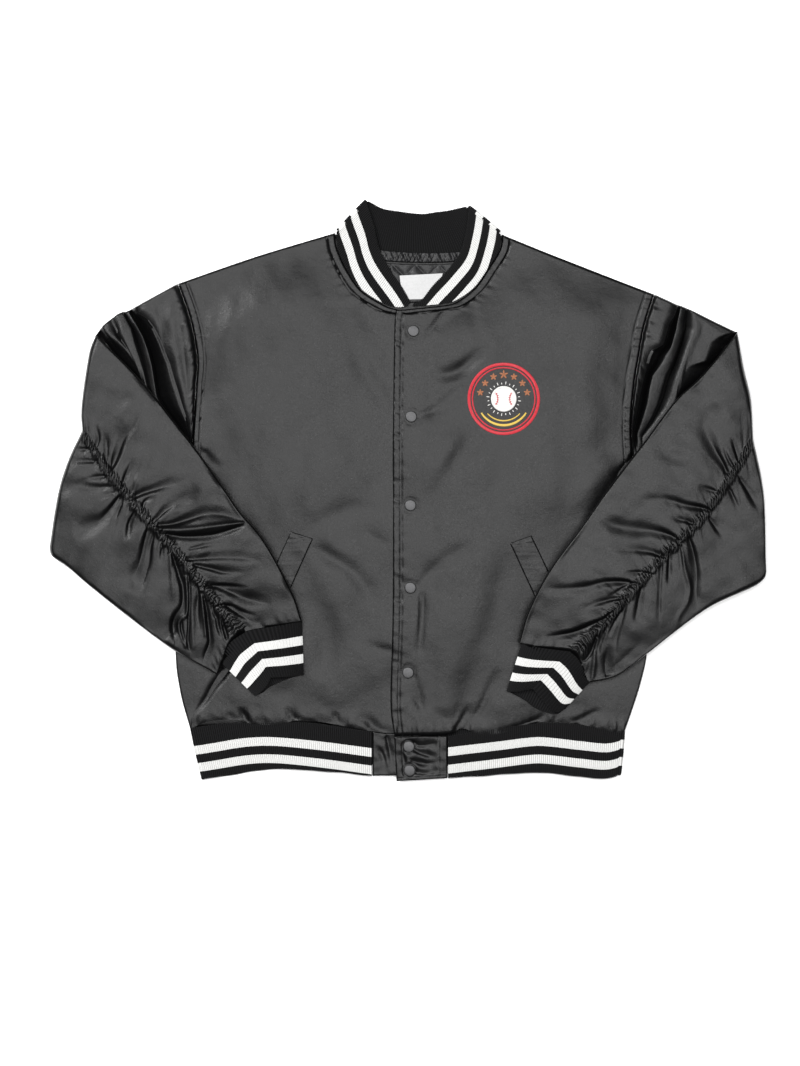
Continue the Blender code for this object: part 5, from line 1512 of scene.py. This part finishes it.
def cuff(side, sizes):
    """A flattened tube, ribbed along its length, with a rolled lip at its mouth."""
    seam_top, mouth_top = CUFF_SEAM_TOP[side], CUFF_MOUTH_TOP[side]
    seam = [seam_top[0][0], *SLEEVE[side]["cuff_seam"][1:-1], seam_top[1][-1]]
    mouth = [mouth_top[0][0], *SLEEVE[side]["cuff_mouth"][1:-1], mouth_top[1][-1]]
    pitch = sizes.rib_pitch / MM
    around = rib_rows(2.15 * CUFF_WIDTH, pitch)
    turn = 2 * pi * np.arange(around) / around
    wall = CUFF_WALL
    face = np.linspace(0.0, 1 - CUFF_WALL / 2 / CUFF_LENGTH, 24)
    lip = np.linspace(pi / 2, -pi / 2, 8)[1:-1]
    columns = [(share, 0.0) for share in face]
    columns += [(face[-1] + wall / 2 / CUFF_LENGTH * cos(a), wall / 2 * (1 - sin(a))) for a in lip]
    columns += [(share, wall) for share in face[::-3]]
    level = SLEEVE_BASE + OVER_WELT_LIFT + CUFF_HALF_HEIGHT
    ribs = rib_profile(np.arange(around) / 4.0, 1.0) * sizes.rib_height / MM
    rings, places = [], []
    for index, (share, depth) in enumerate(columns):
        inner = index >= len(face) + len(lip)
        depth = depth + (0.6 if inner else -1.0) * ribs
        spot = 0.5 - (0.5 - depth / CUFF_WIDTH) * np.cos(turn)
        layer = (0.5 + 0.5 * np.sin(turn))[:, None]
        start = layer * creased(seam_top, spot) + (1 - layer) * along([seam], spot)
        end = layer * creased(mouth_top, spot) + (1 - layer) * along([mouth], spot)
        ring = (1 - share) * start + share * end
        rise = np.sign(np.sin(turn)) * np.abs(np.sin(turn)) ** CUFF_SQUARENESS * (CUFF_HALF_HEIGHT - depth)
        rings.append(np.column_stack([ring, level + rise]))
        beyond = (1 - share) * CUFF_LENGTH if index < len(face) else -depth
        places.append(np.full(around, beyond - CUFF_EDGE_RIB))
    points = np.stack(rings, axis=1)
    uv = np.dstack([np.broadcast_to((np.arange(around) * pitch / 4)[:, None], points.shape[:2]),
                    np.stack(places, axis=1)])
    return points, uv


class JACKET_OT_cuffs(Operator):
    """The doubled rib cuffs, each a flattened tube with two stripes"""

    bl_idname = "jacket.cuffs"
    bl_label = "Cuffs"

    def execute(self, context):
        for side in ("right", "left"):
            points, uv = cuff(side, context.scene.jacket_sizes)
            piece = sheet_of(f"rib_cuff_{side}", points, uv, ring=True, loop=True)
            dress(piece, knitted_rib(context), "rib", f"cuff_{side}")
        return {"FINISHED"}


# Small cloth pieces


def strip_grid(outline, cols, rows):
    stations = shares(cols)
    low, high = along([outline["bottom"]], stations), along([outline["top"]], stations)
    step = shares(rows)[:, None, None]
    return (1 - step) * low[None] + step * high[None]


def padded_strip(name, grid, bottom, top, roll=1.2):
    """A closed flat piece with rolled edges."""
    edge = np.minimum.reduce([rounded(distance, roll) for distance in from_edges(grid)])
    middle = (top + bottom) / 2
    upper = lifted(grid, middle + (top - middle) * edge)
    lower = lifted(grid, middle - (middle - bottom) * edge)
    uv = flat_map(grid)
    points, uv = side_by_side(upper, lower[:, ::-1]), side_by_side(uv, uv[:, ::-1])
    return sheet_of(name, points, uv, ring=True, caps=True), upper


TAB_WALL = 2.6
TAB_FOLDS = [
    (0.0, (0, -325, 3, 0), (14, -332, 4, -0.9), (30, -331, 5, -0.6), (46, -326, 4, 0)),
    (0.3, (10, -338, 3, -0.8), (24, -344, 5, -1.0), (42, -346, 5, 0)),
    (0.0, (8, -352, 3, -0.6), (22, -356, 5, -1.1), (44, -352, 5, 0)),
    (0.0, (-4, -342, 3, -0.6), (-2, -352, 4, -0.8), (-4, -362, 4, 0)),
    (0.0, (-26, -322, 3, -0.7), (-22, -340, 5, -0.9), (-20, -358, 5, 0)),
    (0.0, (-38, -330, 3, 0), (-30, -345, 4, -0.7), (-26, -362, 4, 0)),
    (0.0, (6, -366, 3, -0.5), (26, -368, 4, -0.8), (46, -362, 4, 0)),
]


class JACKET_OT_tabs(Operator):
    """The satin tabs that close the hem"""

    bl_idname = "jacket.tabs"
    bl_label = "Hem tabs"

    def execute(self, context):
        inset_by = context.scene.jacket_sizes.topstitch_inset / MM
        over = BACK_TOP + TAB_WALL + SEAM_GAP
        for side, outline, base in (("right", UNDER_TAB, BACK_TOP), ("left", OVER_TAB, over)):
            grid = strip_grid(outline, 56, 50)
            start, _, left, right = from_edges(grid)
            top = base + TAB_WALL + 2.3 * folds(grid, TAB_FOLDS) + 0.3 * ripples(grid, 17, 3)
            if side == "left":
                top = top - 0.6 * bump(right, inset_by, 1.0) - 0.5 * bump(start, 3.5, 0.9)
                top = top - 0.5 * bump(left, inset_by - 1, 1.0) - 0.7 * drawn_round_snaps(grid)
            piece, upper = padded_strip(f"satin_tab_{side}", grid, base, top)
            dress(piece, shell_satin(context), "satin", f"hem_tab_{side}")
        return {"FINISHED"}


def height_on(piece, x, y, otherwise=0.0):
    """The height in millimetres of a piece's outer face above this point."""
    hit, place, normal, index = piece.ray_cast(Vector((x * MM, y * MM, 1.0)), Vector((0, 0, -1)))
    return place.z / MM if hit else otherwise


def heights_on(piece, grid):
    flat = [height_on(piece, x, y) for x, y in grid[..., :2].reshape(-1, 2)]
    return np.array(flat).reshape(grid.shape[:2])


WELT_WALL = 2.4


class JACKET_OT_welts(Operator):
    """The slanted pocket welts"""

    bl_idname = "jacket.welts"
    bl_label = "Pocket welts"

    def execute(self, context):
        for side, edges in WELTS.items():
            front = bpy.data.objects[f"satin_front_{side}"]
            low, high = (along([edges[edge]], shares(90)) for edge in ("outer", "inner"))
            step = shares(30)[:, None, None]
            grid = (1 - step) * low[None] + step * high[None]
            base = heights_on(front, grid)
            start, _, left, _ = from_edges(grid)
            top = base + WELT_WALL + 0.15 * ripples(grid, 21, 8)
            top = top - 0.8 * bump(left, 3.0, 0.8) + tucks(left + 0.4 * start, 15, 17, 0.5, 1.2)
            piece, upper = padded_strip(f"satin_welt_{side}", grid, base + 0.1, top, 1.6)
            dress(piece, shell_satin(context), "satin", f"pocket_welt_{side}")
        return {"FINISHED"}


LINING_WALL = 1.8


class JACKET_OT_neck_inside(Operator):
    """What shows inside the neck: the quilted lining, the gathered tape and the blank label"""

    bl_idname = "jacket.neck_inside"
    bl_label = "Inside the neck"

    def execute(self, context):
        sizes, colours = context.scene.jacket_sizes, context.scene.jacket_colours
        cloth = material_once("quilted_lining", satin_material, tuple(colours.lining), 0.38, 0.6)
        grid = strip_grid(LINING_OUTLINE, 150, 70)
        pitch = sizes.quilt_pitch / MM
        one = np.abs(np.sin(pi * (grid[..., 0] + grid[..., 1] - 4) / pitch))
        other = np.abs(np.sin(pi * (grid[..., 0] - grid[..., 1] + 10) / pitch))
        quilted = 2.0 * (np.minimum(one, other) ** 0.55 - 0.6)
        top = FRONT_BASE + LINING_WALL + quilted + 0.3 * ripples(grid, 14, 21)
        lining, upper = padded_strip("lining_quilted", grid, FRONT_BASE, top)
        dress(lining, cloth, "lining", "lining_neck")

        grid = strip_grid(TAPE_OUTLINE, 260, 16)
        start, _, run, _ = from_edges(grid)
        gathers = wander(run + 0.6 * start, 8, 51) + 0.6 * wander(run - 0.3 * start, 4.5, 52)
        top = FRONT_BASE + LINING_WALL + 0.7 + 0.55 * gathers + 0.5 * bump(start, 5, 4)
        tape, upper = padded_strip("lining_tape", grid, FRONT_BASE, top)
        dress(tape, cloth, "lining", "neck_tape")

        grid = strip_grid(LABEL_CORNERS, 50, 36)
        _, end, left, _ = from_edges(grid)
        base = FRONT_BASE + LINING_WALL + 1.3
        top = base + 0.5 + 0.25 * ripples(grid, 30, 61)
        top = top - 0.18 * bump(end, 2.5, 0.5) - 0.12 * bump(left, 2.5, 0.5)
        label, upper = padded_strip("label_blank", grid, base, top, 0.5)
        white = material_once("woven_label", woven_material, tuple(colours.label), 0.7, 0.0006, 0.00008)
        dress(label, white, "label", "label")
        return {"FINISHED"}


# Snaps and stitching


# A snap cap's rings from its seat to its middle: their radius and height, as shares of the cap's radius.
SNAP_PROFILE = [(0.90, 0.00), (1.00, 0.05), (1.00, 0.22), (0.97, 0.31), (0.91, 0.36), (0.84, 0.375),
                (0.70, 0.39), (0.50, 0.405), (0.30, 0.415), (0.14, 0.418)]


def snap_cap(name, centre, diameter):
    """A cap: a disc pulled up ring by ring to a rolled rim and a slightly crowned face."""
    radius = diameter / 2
    x, y, z = centre
    bpy.ops.object.select_all(action="DESELECT")
    bpy.ops.mesh.primitive_circle_add(vertices=56, radius=radius * SNAP_PROFILE[0][0], fill_type="NGON",
                                      location=(x, y, z))
    piece = bpy.context.active_object
    piece.name = piece.data.name = name
    bpy.ops.object.mode_set(mode="EDIT")
    bpy.ops.mesh.select_all(action="SELECT")
    for (before, low), (after, high) in zip(SNAP_PROFILE, SNAP_PROFILE[1:]):
        bpy.ops.mesh.extrude_region_move(TRANSFORM_OT_translate={"value": (0, 0, (high - low) * radius)})
        size = after / before
        bpy.ops.transform.resize(value=(size, size, 1.0), center_override=(x, y, z))
    bpy.ops.mesh.poke()
    bpy.ops.mesh.select_all(action="SELECT")
    bpy.ops.mesh.remove_doubles(threshold=1e-6)
    bpy.ops.mesh.normals_make_consistent(inside=False)
    bpy.ops.object.mode_set(mode="OBJECT")
    bpy.ops.object.transform_apply(location=True, rotation=True, scale=True)
    bpy.ops.object.shade_smooth_by_angle(angle=radians(50))
    return piece


class JACKET_OT_snaps(Operator):
    """The seven snaps down the placket and the hem tab"""

    bl_idname = "jacket.snaps"
    bl_label = "Snaps"

    def execute(self, context):
        sizes, colours = context.scene.jacket_sizes, context.scene.jacket_colours
        metal = material_once("gunmetal_snap", snap_material, tuple(colours.snap))
        for number in SNAPS:
            x, y = snap_place(number)
            carrier = bpy.data.objects["satin_front_left" if number < 6 else "satin_tab_left"]
            seat = height_on(carrier, x / MM, y / MM) * MM
            piece = snap_cap(f"metal_snap_{number}", (x, y, seat - 0.0002), sizes.snap)
            dress(piece, metal, "snap", f"snap_{number}")
        return {"FINISHED"}


# The gap between stitches as a share of one, and how far in from their edges the welts and tabs are stitched.
STITCH_GAP = 0.28
WELT_STITCHING = 2.4
TAB_STITCHING = 3.5


def stitch_run(line, length):
    """Centres and directions of stitches along a line of x, y."""
    total = lengths_along(line)[:, 0]
    count = max(1, int(total[-1] / (length * (1 + STITCH_GAP))))
    middles = (np.arange(count) + 0.5) * total[-1] / count
    spots, ahead = (np.column_stack([np.interp(where, total, column) for column in line.T])
                    for where in (middles, np.minimum(middles + 0.8, total[-1])))
    return spots, steps_of(ahead - spots)


def moved_in(line, amount):
    """The line moved to its left by an amount."""
    return line + amount * left_of(line)


def stitched_lines(inset_by):
    """The piece that carries each row of topstitching, and the row's x, y."""
    fine = shares(400)
    beside_seam = inset_by - 0.2
    rows = []
    for side, turn in (("right", -1), ("left", 1)):
        body, front = OUTLINE[side], f"satin_front_{side}"
        rows.append((front, moved_in(along([body["armhole"]], fine), turn * beside_seam)))
        rows.append((front, moved_in(along([body["neck"]], fine), turn * beside_seam)[14:-14]))
        for edge, sign in (("outer", 1), ("inner", -1)):
            line = along([WELTS[side][edge]], fine)
            rows.append((f"satin_welt_{side}", moved_in(line, sign * turn * WELT_STITCHING)))
    centre = along([OUTLINE["left"]["centre"]], fine)
    rows.append(("satin_front_left", moved_in(centre, 0.6 - inset_by)[6:-14]))
    (low_left, low_right), (_, high_right) = (np.array(OVER_TAB[end], float) for end in ("bottom", "top"))
    rows.append(("satin_tab_left", moved_in(along([[low_right, high_right]], fine), inset_by)))
    rows.append(("satin_tab_left", moved_in(along([[low_left, low_right]], fine), TAB_STITCHING)[10:-10]))
    return rows


class JACKET_OT_stitching(Operator):
    """The topstitching beside the seams, as joined rows of small stitches"""

    bl_idname = "jacket.stitching"
    bl_label = "Stitching"

    def execute(self, context):
        sizes, colours = context.scene.jacket_sizes, context.scene.jacket_colours
        length, width = sizes.stitch / MM, sizes.thread / MM
        bpy.ops.object.select_all(action="DESELECT")
        bpy.ops.mesh.primitive_uv_sphere_add(segments=6, ring_count=4, radius=0.5)
        stitch = context.active_object
        shape = np.array([v.co[:] for v in stitch.data.vertices])
        faces = [tuple(f.vertices) for f in stitch.data.polygons]
        bpy.data.objects.remove(stitch)
        long, wide, high = shape[:, 0] * length, shape[:, 1] * width, shape[:, 2] * width * 0.8
        points, sides = [], []
        for name, line in stitched_lines(sizes.topstitch_inset / MM):
            carrier = bpy.data.objects[name]
            for (x, y), (ux, uy) in zip(*stitch_run(line, length)):
                level = height_on(carrier, x, y, -1.0)
                if level < 0:
                    continue
                sides += [tuple(v + len(points) * len(shape) for v in face) for face in faces]
                place = x + long * ux - wide * uy, y + long * uy + wide * ux, level + 0.05 + high
                points.append(np.column_stack(place))
        mesh = bpy.data.meshes.new("thread_topstitching")
        mesh.from_pydata((np.vstack(points) * MM).tolist(), [], sides)
        mesh.shade_smooth()
        piece = bpy.data.objects.new("thread_topstitching", mesh)
        context.scene.collection.objects.link(piece)
        dress(piece, material_once("sewing_thread", thread_material, tuple(colours.thread)), "satin")
        return {"FINISHED"}


# The chest badge


BADGE_CENTRE = (126.0, 118.0)
STROKE_HEIGHT = 0.7


def stroke(points, half_width, height, rows, taper):
    """A satin-stitched stroke: x, y along it, arched across, narrowed towards its ends by the taper."""
    line = along([points], shares(rows))
    narrow = 1 - taper * np.abs(2 * shares(rows) - 1) ** 2.2
    across = np.linspace(-1, 1, 7)
    aside = across[None, :, None] * half_width * narrow[:, None, None]
    grid = line[:, None] + left_of(line)[:, None] * aside
    every = np.ones((rows, 1))
    rise = height * np.sqrt(np.clip(1 - 0.9 * across**2, 0, 1))[None] * every
    uv = np.dstack([across * half_width * every, lengths_along(line) * np.ones(len(across))])
    return grid, rise, uv


def circle(radius, start=0.0, turn=360.0, centre=(0.0, 0.0), count=25):
    angles = np.radians(np.linspace(start, start + turn, count))
    return [(centre[0] + radius * cos(a), centre[1] + radius * sin(a)) for a in angles]


def badge_strokes(radius):
    """A generic badge: two rings, a ball with curved seams in a ring of rays, stars above and arcs below."""
    red = [(circle(radius, 90, 360), 1.7, 0.0), (circle(radius * 0.9, 90, 360), 0.6, 0.0)]
    ball = radius * 0.34
    white = [(circle(ball, 90, 360), 1.0, 0.0)]
    for k in range(13):
        offset = (k / 6 - 1) * ball * 0.94
        half = sqrt(max(ball**2 - offset**2, 1e-6))
        white.append(([(-half, offset), (half, offset)], ball * 0.095, 0.0))
    for k in range(24):
        angle = radians(7.5 + 15 * k)
        near, far = radius * 0.42, radius * (0.50 if k % 2 else 0.47)
        white.append(([(near * cos(angle), near * sin(angle)),
                       (far * cos(angle), far * sin(angle))], 0.6, 0.3))
    seams = []
    for side in (-1, 1):
        centre = side * ball * 1.3
        seams.append((circle(ball * 0.8, 140 if side > 0 else -40, 80, (centre, 0)), 0.55, 0.0))
        for k in range(6):
            angle = radians((148 if side > 0 else -32) + 12.8 * k)
            inner, outer = ball * 0.70, ball * 0.90
            seams.append(([(centre + inner * cos(angle), inner * sin(angle)),
                           (centre + outer * cos(angle), outer * sin(angle))], 0.35, 0.0))
    gold = [(circle(radius * 0.76, 212, 116), 1.5, 0.35), (circle(radius * 0.63, 222, 96), 0.9, 0.35)]
    tan = []
    for number in range(7):
        turn = radians(15 + 25 * number)
        spot = (radius * 0.70 * cos(turn), radius * 0.70 * sin(turn))
        size = 6.0 if number == 3 else 4.6
        for k in range(5):
            angle = radians(90 + 72 * k)
            tan.append(([spot, (spot[0] + size * cos(angle), spot[1] + size * sin(angle))], 1.2, 0.85))
    return {"red": red, "white": white, "tan": tan, "gold": gold}, seams


class JACKET_OT_badge(Operator):
    """A generic embroidered badge on the chest"""

    bl_idname = "jacket.badge"
    bl_label = "Badge"

    def execute(self, context):
        sizes, colours = context.scene.jacket_sizes, context.scene.jacket_colours
        radius = sizes.badge / MM / 2 - 2
        groups, seams = badge_strokes(radius)
        front = bpy.data.objects["satin_front_left"]
        layers = [(name, strokes, 0.0) for name, strokes in groups.items()] + [("red_seams", seams, 0.45)]
        for name, strokes, lift in layers:
            made = []
            for number, (points, half_width, taper) in enumerate(strokes):
                placed = [(BADGE_CENTRE[0] + x, BADGE_CENTRE[1] + y) for x, y in points]
                rows = 160 if len(points) > 20 else 14
                grid, rise, uv = stroke(placed, half_width, STROKE_HEIGHT, rows, taper)
                points_up = lifted(grid, heights_on(front, grid) + rise + lift)
                made.append(sheet_of(f"stroke_{number}", points_up, uv, 0.0004))
            bpy.ops.object.select_all(action="DESELECT")
            for piece in made:
                piece.select_set(True)
            context.view_layer.objects.active = made[0]
            bpy.ops.object.join()
            piece = context.active_object
            piece.name = piece.data.name = f"badge_{name}"
            shade = name.split("_")[0]
            thread = material_once(f"badge_thread_{shade}", stitched_material,
                                   tuple(getattr(colours, f"badge_{shade}")))
            dress(piece, thread, "badge")
        return {"FINISHED"}


# Stage


PIXEL = 1.3 * MM
CAMERA_HEIGHT = 3.849
FRAME_HEIGHT = 1066 * PIXEL
# The picture's middle, in pixels from the jacket's own origin.
FRAME_MIDDLE = (-6.5, -43.0)
SENSOR = 36.0
FLOOR_LEVEL = -0.5 * MM
KEY_POWER = 155.0
KEY_PLACE = (0.2, 0.2, 3.3)
KEY_TILT = radians(-3.5)
KEY_SIZE = (2.6, 2.2)
WINDOW_POWER = 125.0
WINDOW_PLACE = (-1.7, 1.3, 2.6)
WINDOW_SIZE = (1.1, 1.1)
# The room's brightness by the height of the direction: from, to, darkest, brightest.
ROOM_LIGHT = (0.5, 1.0, 0.04, 0.6)


def area_light(name, place, turn, size_of, power):
    bpy.ops.object.light_add(type="AREA", location=place, rotation=turn)
    light = bpy.context.active_object
    light.name = name
    light.data.shape = "RECTANGLE"
    light.data.size, light.data.size_y = size_of
    light.data.energy = power
    light.visible_camera = False


class JACKET_OT_stage(Operator):
    """The pale floor, the soft overhead light and the camera straight above"""

    bl_idname = "jacket.stage"
    bl_label = "Stage"

    def execute(self, context):
        scene = context.scene
        bpy.ops.object.select_all(action="DESELECT")
        bpy.ops.mesh.primitive_plane_add(size=8.0, location=(0, 0, FLOOR_LEVEL))
        floor = context.active_object
        bpy.ops.object.transform_apply(location=True, rotation=True, scale=True)
        floor.name = "floor"
        pale = tuple(scene.jacket_colours.floor)
        floor.data.materials.append(start_material("pale_floor", pale, 0.9, Specular_IOR_Level=0.0)[0])

        to_window = -Vector(WINDOW_PLACE)
        area_light("overhead_light", KEY_PLACE, (KEY_TILT, 0, 0), KEY_SIZE, KEY_POWER)
        area_light("window_light", WINDOW_PLACE, to_window.to_track_quat("-Z", "Y").to_euler(), WINDOW_SIZE,
                   WINDOW_POWER)

        world = bpy.data.worlds.new("room")
        scene.world = world
        world.use_nodes = True
        tree = world.node_tree
        background = tree.nodes["Background"]
        source = node(tree, "ShaderNodeTexCoord")
        split = node(tree, "ShaderNodeSeparateXYZ")
        ramp = node(tree, "ShaderNodeMapRange")
        tree.links.new(source.outputs["Generated"], split.inputs[0])
        for label, value in zip(("From Min", "From Max", "To Min", "To Max"), ROOM_LIGHT):
            ramp.inputs[label].default_value = value
        tree.links.new(split.outputs["Z"], ramp.inputs["Value"])
        background.inputs["Color"].default_value = (1.0, 1.0, 1.0, 1.0)
        tree.links.new(ramp.outputs["Result"], background.inputs["Strength"])

        x, y = FRAME_MIDDLE
        bpy.ops.object.camera_add(location=(x * PIXEL, y * PIXEL, CAMERA_HEIGHT), rotation=(0, 0, 0))
        camera = context.active_object
        camera.data.sensor_fit = "VERTICAL"
        camera.data.sensor_height = SENSOR
        camera.data.lens = SENSOR * CAMERA_HEIGHT / FRAME_HEIGHT
        camera.data.clip_end = 50.0
        scene.camera = camera
        scene.view_settings.view_transform = "Standard"
        return {"FINISHED"}


class JACKET_PT_panel(Panel):
    """The jacket's pieces, in the order in which they are made"""

    bl_label = "Baseball Jacket"
    bl_idname = "JACKET_PT_panel"
    bl_space_type = "VIEW_3D"
    bl_region_type = "UI"
    bl_category = "Jacket"

    def draw(self, context):
        column = self.layout.column()
        for operator in OPERATORS:
            column.operator(operator.bl_idname)
        for group in (context.scene.jacket_sizes, context.scene.jacket_colours):
            for prop in group.bl_rna.properties:
                if prop.identifier not in ("rna_type", "name"):
                    column.prop(group, prop.identifier)


OPERATORS = (JACKET_OT_stage, JACKET_OT_back, JACKET_OT_fronts, JACKET_OT_upper_sleeves,
             JACKET_OT_lower_sleeves, JACKET_OT_cuffs, JACKET_OT_bands, JACKET_OT_tabs, JACKET_OT_welts,
             JACKET_OT_neck_inside, JACKET_OT_snaps, JACKET_OT_stitching, JACKET_OT_badge)
CLASSES = (JacketSizes, JacketColours, *OPERATORS, JACKET_PT_panel)


def register():
    for cls in CLASSES:
        bpy.utils.register_class(cls)
    bpy.types.Scene.jacket_sizes = PointerProperty(type=JacketSizes)
    bpy.types.Scene.jacket_colours = PointerProperty(type=JacketColours)


def unregister():
    del bpy.types.Scene.jacket_colours
    del bpy.types.Scene.jacket_sizes
    for cls in reversed(CLASSES):
        bpy.utils.unregister_class(cls)


def main():
    register()
    bpy.ops.jacket.stage()
    bpy.ops.jacket.back()
    bpy.ops.jacket.fronts()
    bpy.ops.jacket.upper_sleeves()
    bpy.ops.jacket.lower_sleeves()
    bpy.ops.jacket.cuffs()
    bpy.ops.jacket.bands()
    bpy.ops.jacket.tabs()
    bpy.ops.jacket.welts()
    bpy.ops.jacket.neck_inside()
    bpy.ops.jacket.snaps()
    bpy.ops.jacket.stitching()
    bpy.ops.jacket.badge()


if __name__ == "__main__":
    main()
